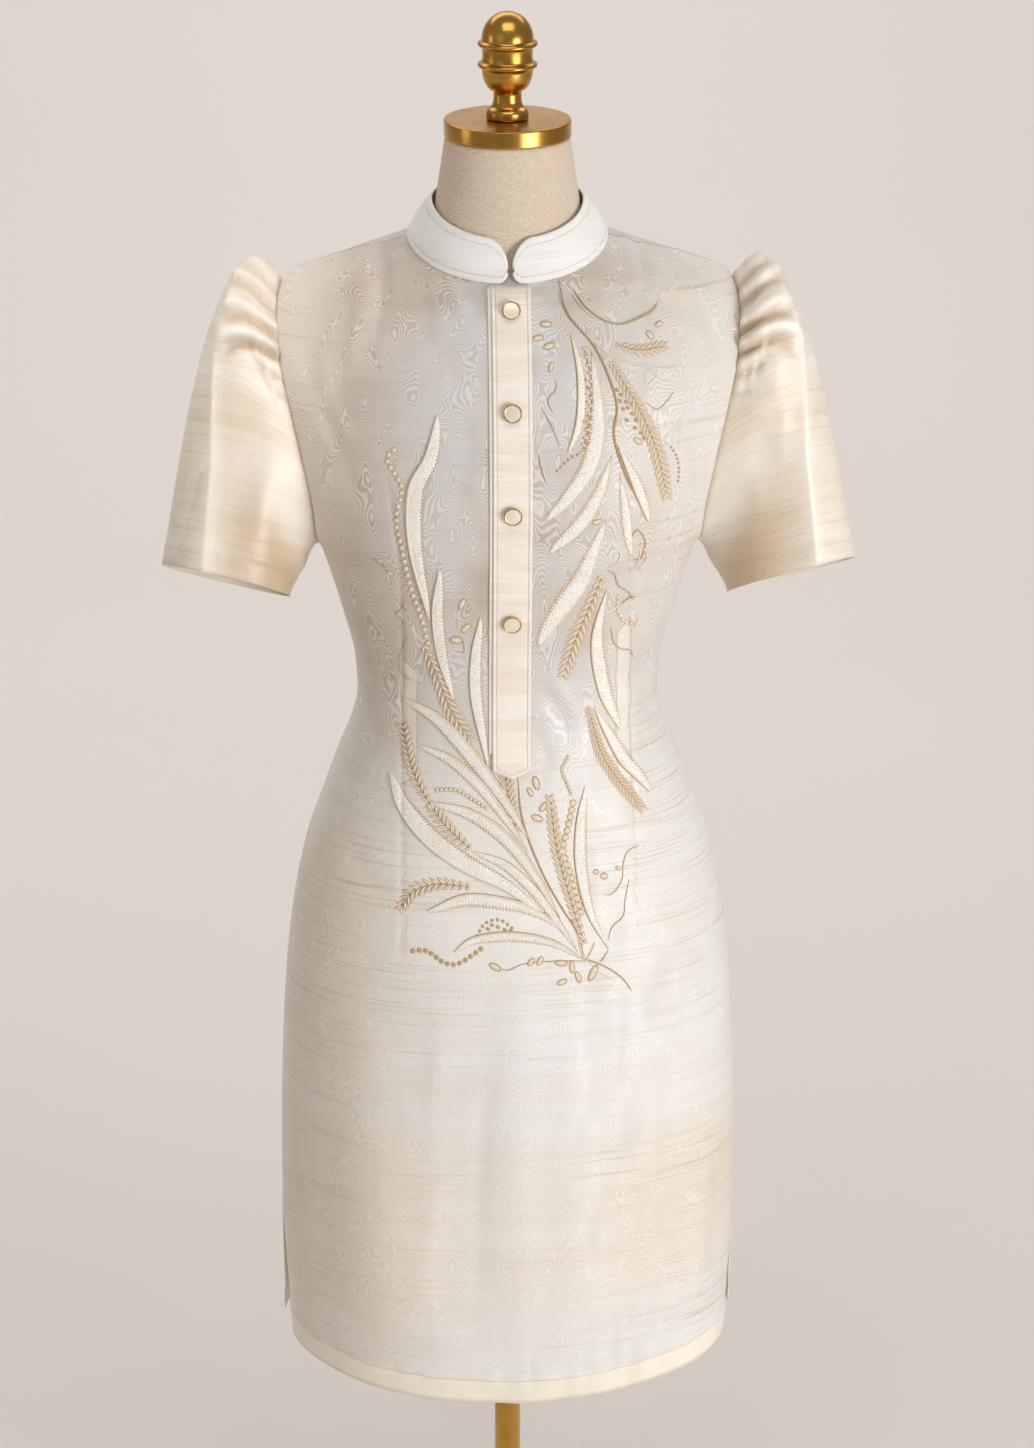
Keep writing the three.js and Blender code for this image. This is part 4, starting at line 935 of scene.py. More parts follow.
def dots(spots, radius, thread=GOLD, high=0.9, hollow=0.0, squash=1.0, turn=0.0):
    """Beads, knots or buds: small domes at places of the picture, hollowed in the middle where said, drawn out along
    one direction by squash."""
    spots = np.asarray(spots, float)
    r = np.array([0.001, 0.35, 0.62, 0.84, 1.0])[:, None]
    phi = (np.arange(10) * 2 * np.pi / 9)[None, :]
    local = np.stack([r * np.cos(phi), r * np.sin(phi) * squash], -1) * radius
    angle = math.radians(turn)
    rotate = np.array([[math.cos(angle), -math.sin(angle)], [math.sin(angle), math.cos(angle)]])
    places = spots[:, None, None] + local @ rotate.T
    dome = high * np.sqrt(np.clip(1.02 - r ** 2, 0, 1)) - hollow * np.exp(-(r / 0.45) ** 2)
    height = np.broadcast_to(dome, places.shape[:-1])
    uv = np.broadcast_to(local, places.shape)
    thread.lay(places[:, :, ::-1], height[:, :, ::-1], uv[:, :, ::-1])


def bud(x, y, long, wide, turn):
    """A seed: an oval of cream thread with a darker oval under it."""
    dots([(x, y)], long * 1.1, GOLD, 0.5, 0, wide / long * 1.05, turn)
    dots([(x, y)], long * 0.92, CREAM, 1.0, 0, wide / long * 0.85, turn)


# Leaves stitched on one side of a rib: places from tip to base, width, side, radius of the rib's cord
UPPER_BLADES = [
    ([(546, 521), (571, 503), (594, 474), (604, 440), (603, 404), (592, 352)], 20, 1, 1.1),
    ([(549, 554), (580, 532), (601, 500), (612, 456)], 15, 1, 0.9),
    ([(538, 646), (566, 614), (590, 578), (606, 520)], 21, 1, 1.0),
    ([(568, 452), (577, 420), (578, 375), (571, 334)], 9, -1, 0.9),
    ([(648, 522), (634, 488), (618, 446)], 11, -1, 1.0),
    ([(632, 556), (629, 515), (620, 474)], 10, 1, 0.8),
    ([(619, 729), (599, 692), (592, 640), (606, 590)], 16, -1, 1.0),
    ([(650, 792), (636, 778), (620, 762), (606, 736), (594, 708)], 14, -1, 1.0),
]
LOWER_BLADES = [
    ([(437, 416), (426, 456), (409, 490), (410, 548), (430, 622)], 18, 1, 1.2),
    ([(439, 570), (433, 612), (438, 655), (454, 702)], 13, 1, 0.9),
    ([(480, 618), (472, 655), (472, 700), (488, 768)], 13, 1, 0.9),
    ([(403, 697), (442, 717), (478, 756), (508, 800), (530, 842)], 16, -1, 1.0),
    ([(417, 744), (452, 757), (483, 784), (508, 818), (528, 852)], 12, -1, 1.0),
    ([(432, 802), (470, 810), (505, 832), (534, 868), (560, 918)], 14, -1, 1.0),
    ([(472, 851), (506, 862), (535, 887), (560, 922), (578, 952)], 11, -1, 0.8),
    ([(390, 774), (399, 808), (425, 843), (462, 870), (505, 890), (545, 916)], 21, 1, 1.1),
    ([(427, 911), (466, 895), (511, 900), (540, 912), (562, 930)], 14, -1, 1.0),
    ([(454, 952), (473, 938), (510, 933), (550, 940), (585, 960)], 10, -1, 1.0),
    ([(585, 786), (577, 822), (576, 865), (587, 912), (609, 950)], 13, 1, 0.9),
]
# Ferns: places from tip to base, half width, pairs, lean
FERNS = [
    ([(666, 494), (657, 452), (640, 411), (611, 362)], 11, 24, 36),
    ([(664, 346), (640, 350), (616, 345)], 8, 9, 44),
    ([(564, 672), (577, 636), (590, 606), (602, 576)], 11, 15, 36),
    ([(641, 807), (619, 781), (600, 750), (588, 706)], 10, 26, 34),
    ([(469, 738), (452, 712), (437, 676), (424, 646)], 11, 15, 38),
    ([(404, 728), (409, 757), (418, 783), (431, 806)], 9, 14, 40),
    ([(432, 808), (447, 827), (470, 849)], 9, 10, 42),
    ([(401, 907), (414, 891), (438, 884), (470, 887)], 9, 13, 42),
    ([(505, 777), (509, 798), (517, 834)], 10, 11, 38),
    ([(550, 800), (557, 850), (570, 898), (584, 944)], 9, 22, 36),
    ([(582, 452), (590, 420), (592, 384), (584, 348)], 4, 14, 36),
]
# Couched cords: places, radius in millimetres before CORD_SHARE, thread
CORDS = [
    ([(559, 282), (568, 314), (594, 346), (610, 380), (617, 408), (614, 436), (625, 474), (643, 510)], 1.2, GOLD),
    ([(574, 291), (586, 307), (602, 319), (620, 324), (638, 318), (653, 310), (660, 298)], 0.75, GOLD),
    ([(572, 294), (583, 308), (598, 320)], 0.7, CREAM),
    ([(581, 330), (596, 344), (612, 356), (634, 364), (657, 368), (676, 366)], 0.9, CREAM),
    ([(555, 379), (556, 389), (548, 400), (553, 414)], 0.5, GOLD),
    ([(541, 407), (551, 425), (560, 447)], 0.5, GOLD),
    ([(538, 453), (541, 468), (546, 483)], 0.6, GOLD),
    ([(645, 402), (657, 409), (666, 402), (674, 391)], 0.5, GOLD),
    ([(649, 384), (655, 376), (650, 370), (644, 376), (649, 390)], 0.5, CREAM),
    ([(610, 626), (614, 643), (622, 649), (630, 650), (633, 657)], 0.6, GOLD),
    ([(607, 556), (613, 548), (620, 553), (617, 563), (609, 566)], 0.8, CREAM),
    ([(629, 541), (637, 530), (645, 541), (641, 557), (632, 560)], 0.8, GOLD),
    ([(634, 545), (640, 550), (636, 566), (629, 570)], 0.8, CREAM),
    ([(606, 570), (614, 574), (618, 585), (628, 592), (633, 600)], 0.7, GOLD),
    ([(617, 600), (620, 613), (629, 626), (637, 624), (638, 612)], 0.8, CREAM),
    ([(621, 604), (628, 598), (636, 596)], 0.7, GOLD),
    ([(458, 611), (458, 620), (459, 631)], 0.5, CREAM),
    ([(463, 640), (464, 652), (456, 652)], 0.45, GOLD),
    ([(467, 601), (480, 617)], 0.4, CREAM),
    ([(371, 557), (382, 565), (390, 573)], 0.5, GOLD),
    ([(398, 598), (404, 606), (396, 614), (404, 622), (398, 628)], 0.5, GOLD),
    ([(404, 628), (407, 640), (400, 655), (401, 672), (411, 680)], 0.45, GOLD),
    ([(518, 778), (521, 812), (530, 843), (545, 878), (562, 908), (577, 932), (585, 960)], 1.0, GOLD),
    ([(640, 845), (628, 851), (623, 864), (622, 879), (613, 893), (603, 895)], 0.55, GOLD),
    ([(629, 879), (625, 900), (623, 916), (612, 927), (608, 941)], 0.55, GOLD),
    ([(585, 961), (591, 952), (595, 942)], 1.0, CREAM),
    ([(585, 961), (581, 950), (577, 932)], 0.9, CREAM),
    ([(583, 958), (606, 967), (622, 978), (632, 991)], 0.8, GOLD),
    ([(586, 958), (598, 971), (614, 980)], 0.6, CREAM),
    ([(495, 967), (508, 970), (524, 964), (556, 961), (586, 961)], 0.55, GOLD),
    ([(608, 950), (604, 957), (600, 962)], 0.6, GOLD),
]
# Dotted lines: places, how many beads, radius in picture points, thread, hollow
DOT_LINES = [
    ([(587, 428), (589, 437), (583, 451), (568, 460), (557, 471)], 12, 1.5, GOLD, 0),
    ([(671, 447), (677, 457), (679, 470), (678, 481)], 9, 1.3, GOLD, 0),
    ([(394, 450), (387, 459), (396, 476), (402, 490), (396, 520), (402, 550), (411, 588), (422, 620), (428, 643)],
     30, 2.4, CREAM, 0.4),
    ([(413, 951), (427, 951), (445, 963), (460, 963), (481, 949)], 13, 2.7, GOLD, 0),
    ([(437, 790), (455, 790), (472, 799), (486, 808)], 13, 1.9, CREAM, 0.5),
    ([(568, 757), (562, 770), (567, 784), (571, 794)], 12, 1.6, CREAM, 0.4),
    ([(573, 803), (568, 827), (563, 850), (570, 872), (577, 898), (581, 912)], 17, 2.9, CREAM, 0.7),
    ([(477, 936), (486, 923), (500, 920), (512, 928)], 9, 1.8, GOLD, 0),
    ([(618, 597), (618, 612), (626, 622), (636, 624)], 9, 1.8, CREAM, 0.4),
    ([(641, 545), (647, 556), (640, 568)], 6, 1.6, CREAM, 0.3),
]
DOT_CLUSTERS = [
    [(585, 380), (588, 388), (584, 394), (591, 396), (586, 402), (584, 409), (588, 416), (583, 421)],
    [(617, 390), (621, 395), (625, 390), (620, 401), (626, 402), (631, 403), (623, 409), (628, 408), (632, 414),
     (627, 420), (635, 428), (641, 433), (636, 420), (644, 438)],
    [(492, 925), (498, 927), (505, 930), (488, 929), (511, 931)],
]
# Seeds: place, half length, half width, turn
BUDS = [
    (546, 324, 6, 3, 0), (538, 338, 5.5, 3, -10), (549, 346, 6, 3.4, -20), (551, 367, 5.5, 2.6, 105),
    (650, 335, 5, 3, 50), (659, 324, 4, 2.4, -35), (638, 441, 5, 2.8, 35), (597, 522, 5.5, 2.6, -15),
    (462, 604, 6, 3.2, -60), (466, 628, 6, 3.2, -40), (456, 640, 6.5, 3.6, 5), (390, 573, 3, 2, 40),
    (536, 783, 7, 3.6, 75), (530, 792, 5, 2.6, 65), (537, 818, 6, 3.4, 20), (543, 807, 5.5, 3, -55),
    (561, 963, 6.5, 3, 5), (572, 967, 6.5, 2.8, 85), (578, 977, 6, 2.8, 70), (562, 982, 5.5, 2.8, -20),
    (593, 973, 9, 3.4, -62), (495, 967, 6.5, 3.2, 30), (531, 962, 5, 2.8, -50), (540, 961, 5, 2.8, -60),
    (604, 876, 4, 3.4, 0), (596, 872, 3, 2.6, 0), (618, 868, 3, 2, 30),
]


CORD_SHARE = 0.85    # how thick the couched cords are made, as a share of the table's radius


def embroider():
    """All the thread on the front, in three pieces: seed stitches, cream thread and gold thread."""
    for points, width, side, rib in UPPER_BLADES + LOWER_BLADES:
        blade(points, width, side)
        cord(points, rib + 0.55, GOLD, 0.0)
        cord(points, rib + 0.15, CREAM, 0.6)
    for points, half, pairs, lean in FERNS:
        fern(points, half, pairs, lean)
    for points, radius, thread in CORDS:
        cord(points, CORD_SHARE * radius, thread)
    for points, number, radius, thread, hollow in DOT_LINES:
        line, _, _ = spline(points, number)
        if hollow:
            dots(line, radius * 1.3, GOLD, 0.5)
        dots(line, radius, thread, 1.4 if hollow else 0.9, hollow)
    for cluster in DOT_CLUSTERS:
        dots(cluster, 2.5, GOLD, 0.9, 0, 0.7, 35)
    for seed in BUDS:
        bud(*seed)
    return [FIELD.piece("embroidery_seed_stitches", FIELD_THREAD), CREAM.piece("embroidery_cream", CREAM_THREAD),
            GOLD.piece("embroidery_gold", GOLD_THREAD)]


# Sleeves

SLEEVE = {"centre": (235, -40, 1070), "out": (53.5, 0, 14.5), "forward": (0, -44.5, 18), "puff": 49}
CREASE_ANGLE = 56
# angle at the seam, angle at the tip, how far along the sleeve the tip is, height
PLEATS = [
    (8, 0, 0.34, 3.5), (21, 8, 0.42, 6.0), (38, 27, 0.46, 8.5), (49, 38, 0.58, 9.0), (60, 52, 0.24, 4.0),
    (70, 64, 0.16, 2.0), (-10, -14, 0.36, 4.0), (-26, -22, 0.46, 7.0), (-42, -36, 0.44, 8.0), (-58, -50, 0.48, 7.0),
    (-73, -64, 0.30, 4.5), (-88, -80, 0.20, 2.4),
]
# waves that run down the sleeve: angle, height, width in degrees, share of the way where they start and end
SLEEVE_WAVES = [
    (96, -0.8, 12, 0.2, 0.8), (-30, 1.6, 14, 0.4, 1), (110, 0.8, 8, 0.1, 0.6), (-75, -1.6, 14, 0.4, 1),
    (215, 1.8, 14, 0.3, 1), (84, 1.2, 5, 0.03, 0.3),
]


def armhole(angle):
    """The armhole's edge at an angle: the panels' outer ends by their length, 0 at the shoulder, 90 front and 180
    underarm."""
    rows = np.linspace(LAST_ROW, UNDERARM, 200)
    places = []
    for facing in (-1, 1):
        line = panel_point(facing, rows, np.ones_like(rows))
        step = np.linalg.norm(np.diff(line, axis=0), axis=1)
        along = np.append(0, np.cumsum(step)) / step.sum()
        turned = angle if facing < 0 else 360 - angle
        share = np.clip(turned / 180, 0, 1) ** (1 / 0.9)
        places.append(np.stack([np.interp(share, along, line[:, axis]) for axis in range(3)], -1))
    return np.where((angle <= 180)[..., None], places[0], places[1])


def turned_from(angle, centre):
    """Degrees from a centre angle, -180 to 180."""
    return (angle - centre + 180) % 360 - 180


def sleeve_grid(rings, count):
    """The wearer's left sleeve: at each angle a cubic curve from the armhole to the cuff that lifts at the head and
    hangs at the cuff."""
    angle = np.arange(count) * 360 / count
    turn = np.radians(angle)
    ahead, above = np.sin(turn), np.cos(turn)
    swell = 1 + 0.16 * np.exp(-(np.hypot(turned_from(angle, CREASE_ANGLE), 7) - 7) / 34)
    square = (np.abs(ahead) ** 2.3 + np.abs(above) ** 2.3) ** (-1 / 2.3)
    start = armhole(angle)
    end = (np.array(SLEEVE["centre"]) + np.outer(above * square * np.where(above > 0, 1, swell), SLEEVE["out"])
           + np.outer(ahead * square * swell, SLEEVE["forward"]))
    head = np.maximum(0, above)
    under = np.maximum(0, -above)
    lead = np.stack([11 + 20 * head ** 2 + 27 * np.abs(ahead) + 6 * under, -ahead * (14 + 22 * head),
                     SLEEVE["puff"] * head ** 1.3 - 8 * under], -1)
    reach = 20 + 222 * ((1 + above) / 2) ** 1.15
    trail = np.outer(reach, (-0.16, 0.28, 0.95))
    t = (np.linspace(0, 1, rings) ** 1.2)[:, None, None]
    grid = ((1 - t) ** 3 * start + 3 * t * (1 - t) ** 2 * (start + lead) + 3 * t * t * (1 - t) * (end + trail)
            + t ** 3 * end)
    return grid, angle, t[:, :, 0]


def pleats(angle, along):
    """The gathered pleats: each a narrow ridge from the seam to its tip, with a tight trough on its lower side.
    Returns the relief, the shade in the troughs and the shine on the ridges."""
    out = -2.0 * smooth(along, 0.02, 0.08) * (1 - smooth(along, 0.1, 0.4)) * (np.abs(turned_from(angle, -5)) < 80)
    shade, shine = 0, 0
    for start, tip, reach, height in PLEATS:
        share = np.clip(along / reach, 0, 1)
        middle = start + (tip - start) * share ** 1.3
        body = smooth(along, -0.02, 0.05) * (1 - smooth(along, 0.7 * reach, reach))
        lower = 1 if start > -5 else -1
        off = turned_from(angle, middle) * lower
        wide = 2.7 + 2.4 * share
        ridge = np.exp(-np.abs(np.where(off > 0, off / wide, off / (2.4 * wide))) ** 1.6)
        trough = np.exp(-np.abs((off - 1.6 * wide) / (0.8 * wide)) ** 1.7)
        out = out + height * body * (ridge - 0.7 * (1 - 0.5 * share) * trough)
        shade = shade + height / 8 * body * trough * (1 - 0.3 * share)
        shine = shine + height / 7 * body * np.exp(-(off / (0.42 * wide)) ** 2) * smooth(share, 0.05, 0.4)
    return out, shade, shine


def make_sleeve(name, side):
    """One sleeve, with its pleats, the pressed crease from the longest pleat's knee to the cuff, and a turned-up
    cuff."""
    grid, angle, along = sleeve_grid(108, 252)
    fold = np.interp(along, (0.45, 0.53, 0.65, 0.77, 1.0), (40, 38, 52, 63, 71))
    off = turned_from(angle[None, :], fold)
    pressed = smooth(along, 0.40, 0.54)
    relief, shade, shine = pleats(angle[None, :], along)
    relief = relief + pressed * (1.6 * np.exp(-(off / 7) ** 2) + 0.5 * np.exp(-np.abs(off) / 2.5)
                                 - 0.5 * np.exp(-((np.abs(off) - 20) / 9) ** 2))
    # Painted highlight along the pressed crease; painted shade on the sleeve's inner side and a darker band at the
    # armhole seam.
    shine = shine + pressed * (0.6 * np.exp(-(off / 1.4) ** 2) + 0.4 * np.exp(-(off / 8) ** 2))
    inner = smooth(angle, 52, 128) * (1 - smooth(angle, 200, 230))
    shade = shade + 0.95 * inner[None, :] * smooth(along, 0.2, 0.9) + 0.35 * np.exp(-(along / 0.03) ** 2)
    relief = relief - 0.3 * np.exp(-(along / 0.012) ** 2)
    under = np.exp(-(turned_from(angle, 180) / 38) ** 2)[None, :]
    relief = relief + under * (4.5 * np.sin(np.pi * np.clip(along, 0, 1)) ** 2 - 2.5 * smooth(along, 0.45, 1.0))
    for centre, height, width, low, high in SLEEVE_WAVES:
        fade = smooth(along, low, low + 0.2) * (1 - smooth(along, high, high + 0.25))
        relief = relief + height * fade * np.exp(-(turned_from(angle, centre) / width) ** 2)[None, :]
    grid = grid + normals_of(grid, True) * relief[..., None]
    grid[0] -= 1.6 * (grid[2] - grid[0]) / np.linalg.norm(grid[2] - grid[0], axis=1, keepdims=True)
    length = np.cumsum(np.linalg.norm(np.diff(grid, axis=0, prepend=grid[:1]), axis=2), axis=0)
    to_cuff = length[-1:] - length
    cuff = 0.7 * (1 - smooth(to_cuff, 17.4, 19))
    grid = grid + normals_of(grid, True) * cuff[..., None]
    around = np.broadcast_to(angle[None, :] * 0.95, length.shape)
    grid[..., 0] *= side
    uv = np.stack([around, to_cuff], -1) * MM
    # The marks carry the painted shade and the painted highlight.
    marks = np.stack(np.broadcast_arrays(np.clip(shade, 0, 1), np.clip(shine, 0, 1)), -1)
    return cloth_wall(name, grid, 0.9, SATIN, wrap=True, turned=side < 0, uv=uv, marks=marks)


# Collar

def make_collar():
    """The band: rows between the neckline and the collar's top edge, bulging a little, whose span shrinks round a
    small low corner and a large high corner at both front ends."""
    half_gap, low_corner, high_corner = 3.5, 8, 21
    start = math.degrees(math.asin(half_gap / NECKLINE["half"]))
    front = start + 26 * np.linspace(0, 1, 60) ** 1.6
    half = np.concatenate([front, np.linspace(front[-1], 180, 90)[1:]])
    angle = np.concatenate([-half, half[:-1][::-1]])
    low = oval_point(NECKLINE, angle)
    high = oval_point(COLLAR_TOP, angle)
    low[:, :2] *= (1 - 0.45 / np.hypot(low[:, 0], low[:, 1]))[:, None]
    low[:, 2] += 0.3
    height = np.linalg.norm(high - low, axis=1)
    distance = np.maximum(0, np.abs(low[:, 0]) - half_gap) + np.where(low[:, 1] > 0, 99, 0)
    corners = []
    for radius in (low_corner, high_corner):
        missing = np.maximum(0, radius - distance)
        corners.append(radius - np.sqrt(np.maximum(0, radius ** 2 - missing ** 2)))
    start_share = corners[0] / height
    end_share = 1 - np.minimum(corners[1], height - 11) / height
    t = np.linspace(0, 1, 28)[:, None]
    share = start_share + (end_share - start_share) * t
    grid = low[None] + (high - low)[None] * share[..., None]
    rise = share * height
    swell = 1.6 * np.sin(np.pi * share)
    swell = swell - 0.5 * np.exp(-((rise - corners[0] - 4.2) / 0.55) ** 2)
    edge = np.minimum(rise - corners[0], height - corners[1] - rise)
    swell = swell - 0.45 * np.exp(-np.maximum(0, edge) / 0.6)
    grid[..., :2] *= (1 + swell / np.hypot(grid[..., 0], grid[..., 1]))[..., None]
    marks = np.stack([np.maximum(0, edge), np.broadcast_to(angle[None, :] * 1.3, share.shape)], -1) * MM
    return cloth_wall("collar_band", grid, 1.5, COLLAR_CLOTH, marks=marks)


# Placket and buttons

BAND_LIFTS = (1.45, 2.95)          # how far the outer faces of the two bands stand off the front


def make_strip(name, left, right, top, bottom, point, lift, stitched=False):
    """A band down the front that follows its depth, with a pointed low end, rolled edges and stitch lines."""
    x = left + (right - left) * np.linspace(0, 1, 45)
    low = bottom + point * np.abs(x) / max(-left, right)
    z = low + (top - low) * np.linspace(0, 1, 180)[:, None]
    x = np.broadcast_to(x, z.shape)
    edge = np.minimum(x - left, right - x)
    lifted = lift - 0.45 * np.exp(-edge / 0.5) - 0.25 * stitched * np.exp(-((edge - 3.2) / 0.7) ** 2)
    lifted = lifted + 0.35 * np.exp(-((edge - 1.2) / 0.9) ** 2) + 0.25 * np.sin(z / 23 + x / 30)
    grid = np.stack([x, depth_at(x, z) - lifted, z], -1)
    from_end = np.minimum((z - low) * 0.9, edge)
    marks = np.stack([from_end if stitched else edge, z], -1) * MM
    return cloth_wall(name, grid, 1.1, PLACKET_CLOTH, marks=marks)


def make_button(name, z):
    """A domed face inside a raised rim, turned about the line that stands off the placket, on a short shank."""
    rim = [(2.6, 0.45), (2.6, 1.7), (6.2, 1.9), (7.3, 2.5), (7.6, 3.2), (7.55, 3.9), (7.3, 4.3), (6.9, 4.35),
           (6.65, 4.1), (6.5, 3.9)]
    face = np.array([(6.5, 3.9), (5.6, 4.05), (3.9, 4.25), (1.9, 4.35), (0.0, 4.4)])
    reach = 8.0
    below, middle, above = depth_at(np.zeros(3), z + np.array([-reach, 0, reach]))
    rise = (above - below) / (2 * reach)
    centre = np.array([0, middle - BAND_LIFTS[1] - 0.05, z])
    right = np.array([1.0, 0, 0])
    up, out = np.array([[0, rise, 1.0], [0, -1.0, rise]]) / math.hypot(1, rise)
    segments = 40
    turn = (np.arange(segments) * 2 * np.pi / segments)[:, None]
    ring = np.cos(turn) * right + np.sin(turn) * up
    button = Patches()
    for profile in (rounded(rim, 0.4), face):
        points = centre + profile[:, None, :1] * ring + profile[:, None, 1:] * out
        button.add(points, grid_faces(len(profile), segments, wrap=True))
    piece = button.piece(name, BRASS)
    piece.data.materials.append(BUTTON_FACE)
    slots = np.zeros(len(piece.data.polygons), np.int32)
    slots[-segments * (len(face) - 1):] = 1
    piece.data.polygons.foreach_set("material_index", slots)
    return merge_doubles(piece, 1e-5)


# Dress form

def make_form():
    """Torso and neck of the form: the panels' surface moved in, flat plates over the armholes, a neck that rises
    from the neckline to a round top, and a flat underside."""
    rows = row_numbers(10.5)
    rows = rows[rows >= 2]
    underside, neck_top, neck_radius = 575.0, 1436.0, 51
    share = np.linspace(0, 1, 41)
    body, edges, rims = Patches(), {}, {}
    for facing, side in ((-1, -1), (-1, 1), (1, -1), (1, 1)):
        grid = panel_point(facing, rows[:, None], share[None, :], side)
        normal = normals_of(grid) * (1 if facing * side < 0 else -1)
        z = grid[..., 2]
        chest = 0.7 + 2.8 * smooth(1316 - z, 0, 60) + 2.0 * (1 - share) ** 3
        waist = 8 - 4.5 * smooth(z, 980, 1091)
        gap = 1.4 + np.where(rows[:, None] >= UNDERARM, chest, waist)
        grid = grid - normal * gap[..., None]
        grid[0, :, 2] = underside
        edges[facing, side] = grid[:, -1]
        rims[facing, side] = grid[rows >= NECK_ROW, 0]
        foot = np.stack([grid[0], np.broadcast_to([0, 0, underside], grid[0].shape)])
        for patch, turned in ((grid, facing * side > 0), (foot, facing * side < 0)):
            body.add(patch, grid_faces(*patch.shape[:2], turned=turned))
    for side in (-1, 1):
        fore, aft = edges[-1, side], edges[1, side]
        t = np.linspace(0, 1, 13)[None, :, None]
        plate = fore[:, None] + (aft - fore)[:, None] * t
        width = np.linalg.norm(aft - fore, axis=1)[:, None]
        plate[..., 0] += side * 4 * np.sin(np.pi * t[..., 0]) * smooth(width, 0, 60)
        body.add(plate, grid_faces(*plate.shape[:2], turned=side < 0))
    ring = np.concatenate([rims[-1, 1], rims[1, 1][::-1][1:], rims[1, -1][1:], rims[-1, -1][::-1][1:-1]])
    turn = np.arctan2(ring[:, 0] / NECKLINE["half"], -ring[:, 1] / NECKLINE["front"])
    ahead = np.stack([np.sin(turn), -np.cos(turn)], -1)
    foot = ahead * np.stack([np.full(len(ring), 60.5), np.where(ring[:, 1] < 0, 53, 52)], -1)
    # share of the way in from the neckline to the neck's foot, rise in between, share of the way up the neck
    levels = [(0, 0, 0), (0.2, 0.5, 0), (0.4, 1.8, 0), (0.6, 4.2, 0), (0.8, 8.5, 0), (0.93, 14, 0), (1, 21, 0)]
    levels += [(1, 21, taper) for taper in np.linspace(0.05, 1, 20)]
    neck = []
    for inward, rise, taper in levels:
        flat = ring[:, :2] + (foot - ring[:, :2]) * inward
        flat = flat + (neck_radius * ahead - flat) * taper
        z = (ring[:, 2] + rise) * (1 - taper) + neck_top * taper
        neck.append(np.concatenate([flat, z[:, None]], 1))
    neck = np.array([*neck, np.broadcast_to([0, 0, neck_top], ring.shape)])
    body.add(neck, grid_faces(*neck.shape[:2], wrap=True))
    return merge_doubles(body.piece("form_body", LINEN), 2e-5)


# Turned brass

def bead(radius, low, high, out):
    """Half a round bead between two heights."""
    turn = np.linspace(0, np.pi, 10)
    return np.stack([radius + out * np.sin(turn), (low + high) / 2 - (high - low) / 2 * np.cos(turn)], -1)


def make_brass():
    """Cap, finial, pole and base, each a profile of radius and height pairs on its foot."""
    cap = rounded([(0, 0), (51.3, 0), (52, 0.8), (52, 13.2), (51.2, 14), (0, 14)], 1.2)
    low_turn, high_turn = np.radians(np.linspace(0, 78, 12)), np.radians(np.linspace(0, 88, 20))
    bowl = np.stack([11.5 + 9.5 * np.sin(low_turn), 43 - 20 * np.cos(low_turn)], -1)
    dome = np.stack([21 * np.cos(high_turn), 65 + 22 * np.sin(high_turn)], -1)
    finial = np.concatenate([
        rounded([(0, 0), (16.6, 0), (17.3, 1), (17.3, 6), (16.2, 8), (13, 10), (11.6, 14), (11.4, 19), bowl[0]], 1.0),
        bowl[1:], bead(21.0, 41.5, 46.5, 3.4), [(20.6, 48), (20.4, 52), (20.6, 57)], bead(21.0, 58.5, 63.5, 3.4), dome,
        [(0, 87)],
    ])
    pole = rounded([(0, 24), (11.5, 24), (11.5, 574.6), (0, 574.6)], 0.4)
    base = rounded([(0, 0), (173, 0), (175, 2), (175, 9), (172, 11.5), (105, 16.5), (30, 20), (24, 22), (24, 34.5),
                    (22.5, 36), (11.8, 36), (11.8, 23.7), (0, 23.7)], 1.5)
    shapes = {"neck_cap": (cap, 1436.3, 120), "finial": (finial, 1450.6, 96), "pole": (pole, 0, 64),
              "base": (base, 0, 140)}
    return {node: lathe("brass_" + node, profile + (0, foot), segments, BRASS)
            for node, (profile, foot, segments) in shapes.items()}


def attach(piece, slot, *nodes):
    """Says what a piece rides on and which nodes it stands for, whose parts it hides. The slot is not used."""
    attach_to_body(piece, "root")
    if nodes:
        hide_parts(*nodes)
    return piece


front = attach(make_panel("front_panel", -1), "jusi", "front")
back = attach(make_panel("back_panel", 1), "jusi", "back")
sleeve_left = attach(make_sleeve("sleeve_left_cloth", 1), "satin", "sleeve_left")
sleeve_right = attach(make_sleeve("sleeve_right_cloth", -1), "satin", "sleeve_right")
collar = attach(make_collar(), "collar_cloth", "collar")
under = attach(make_strip("placket_under_band", -19, 12, 1328, 934, 0.5, BAND_LIFTS[0]), "placket_cloth",
               "placket_under")
over = attach(make_strip("placket_over_band", *PLACKET.values(), BAND_LIFTS[1], stitched=True), "placket_cloth",
              "placket_over")
for number, height in enumerate(BUTTON_HEIGHTS, 1):
    attach(make_button(f"rimmed_button_{number}", height), "button", f"button_{number}")
threads = [attach(piece, "jusi") for piece in embroider()]
form = attach(make_form(), "linen", "form_torso")
for node, piece in make_brass().items():
    attach(piece, "brass", node)


# Stage, light and camera

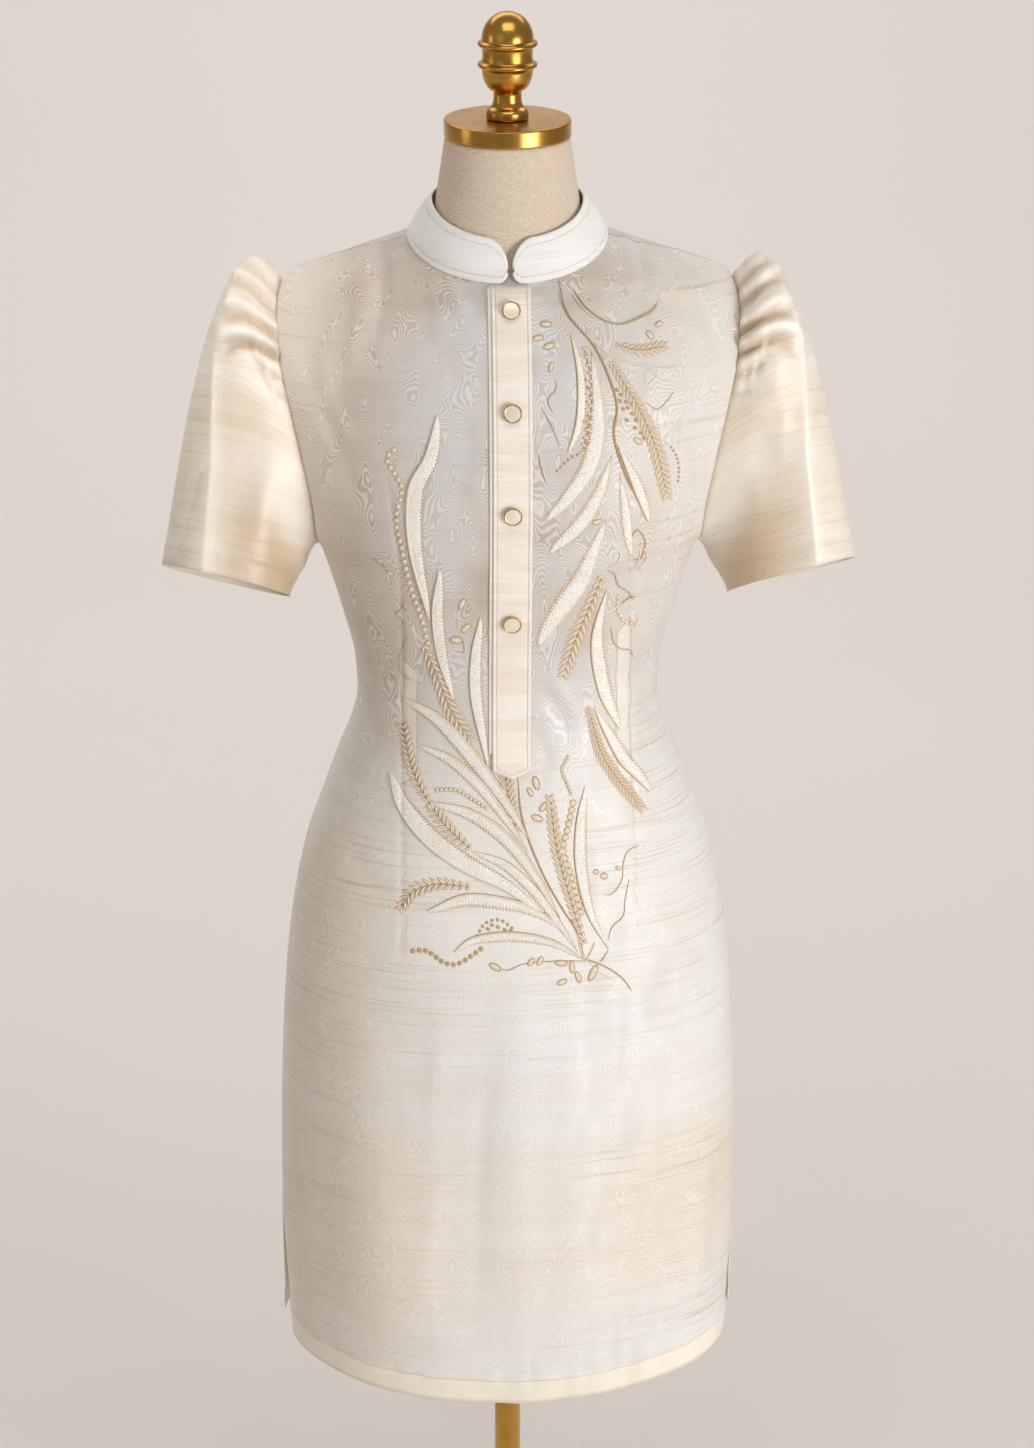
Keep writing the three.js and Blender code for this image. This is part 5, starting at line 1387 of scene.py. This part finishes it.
def make_stage():
    """A pale floor that curves up into a wall behind: a quarter circle between two straight lines."""
    turn = np.radians(np.linspace(0, 90, 24))
    floor_end, bend_radius, half_width = 3000, 2500, 9000
    bend = np.stack([floor_end + bend_radius * np.sin(turn), bend_radius * (1 - np.cos(turn))], -1)
    line = np.concatenate([[(-7000, 0)], bend, [(floor_end + bend_radius, 9000)]])
    grid = np.stack([np.insert(line, 0, x, axis=1) for x in (-half_width, half_width)], 1)
    material, tree, body = new_material("studio paper", Roughness=0.95, Specular_IOR_Level=0.1)
    cloud = object_place(tree).noise(0.8)
    feed(body["Base Color"], layered((237, 232, 228), (cloud, (233, 227, 222))))
    floor = make_piece("studio_floor", grid, grid_faces(*grid.shape[:2]), material)


def area_light(name, place, aim, size, watts, colour, spread=180):
    """A rectangular lamp at a place in metres, turned to its aim."""
    light = bpy.data.lights.new(name, "AREA")
    light.spread = math.radians(spread)
    light.shape = "RECTANGLE"
    light.size, light.size_y = size
    light.energy = watts
    light.color = colour
    lamp = bpy.data.objects.new(name, light)
    x, y, z = np.subtract(place, aim)
    lamp.location = place
    lamp.rotation_euler = (math.atan2(math.hypot(x, y), z), 0, math.atan2(x, -y))
    bpy.context.scene.collection.objects.link(lamp)


make_stage()
area_light("key", (2.15, -2.6, 0.9), (0, 0, 0.8), (1.4, 1.5), 61, (0.985, 0.99, 1.0))
area_light("fill", (-2.2, -3.2, 2.0), (0, 0, 0.9), (2.0, 2.0), 3, (1.0, 0.95, 0.88))
area_light("above", (0.1, -1.3, 3.6), (0, 0, 1.3), (2.0, 1.4), 18, (1.0, 0.985, 0.96))
area_light("left", (-3.4, -0.5, 1.3), (-0.2, 0, 0.9), (1.0, 1.4), 5, (1.0, 0.92, 0.82))
area_light("left shoulder", (-0.7, -1.0, 3.2), (-0.21, -0.03, 1.27), (0.12, 0.12), 0.06, (1.0, 0.97, 0.92), 9)
area_light("right shoulder", (0.8, -0.9, 3.2), (0.27, -0.03, 1.2), (0.12, 0.12), 0.025, (1.0, 0.98, 0.95), 9)
area_light("backdrop", (0.0, 2.6, 3.6), (0, 3.4, 0), (5.0, 3.0), 80, (1.0, 0.99, 0.985))

world = bpy.data.worlds.new("studio")
world.use_nodes = True
sky = world.node_tree.nodes["Background"].inputs
sky["Color"].default_value = (0.96, 0.91, 0.85, 1)
sky["Strength"].default_value = 0.33
bpy.context.scene.world = world
bpy.context.scene.view_settings.view_transform = "Standard"

lens = bpy.data.cameras.new("photo")
lens.sensor_fit = "VERTICAL"
lens.sensor_height = 36
lens.lens = lens.sensor_height * LENS / PHOTO[1]
lens.shift_x = (PHOTO[0] / 2 - AXIS_AT) / PHOTO[1]
camera = bpy.data.objects.new("photo", lens)
camera.location = (CAMERA_PLACE * MM).tolist()
camera.rotation_euler = (math.pi / 2 - CAMERA_DIP, 0, CAMERA_TURN)
bpy.context.scene.collection.objects.link(camera)
bpy.context.scene.camera = camera
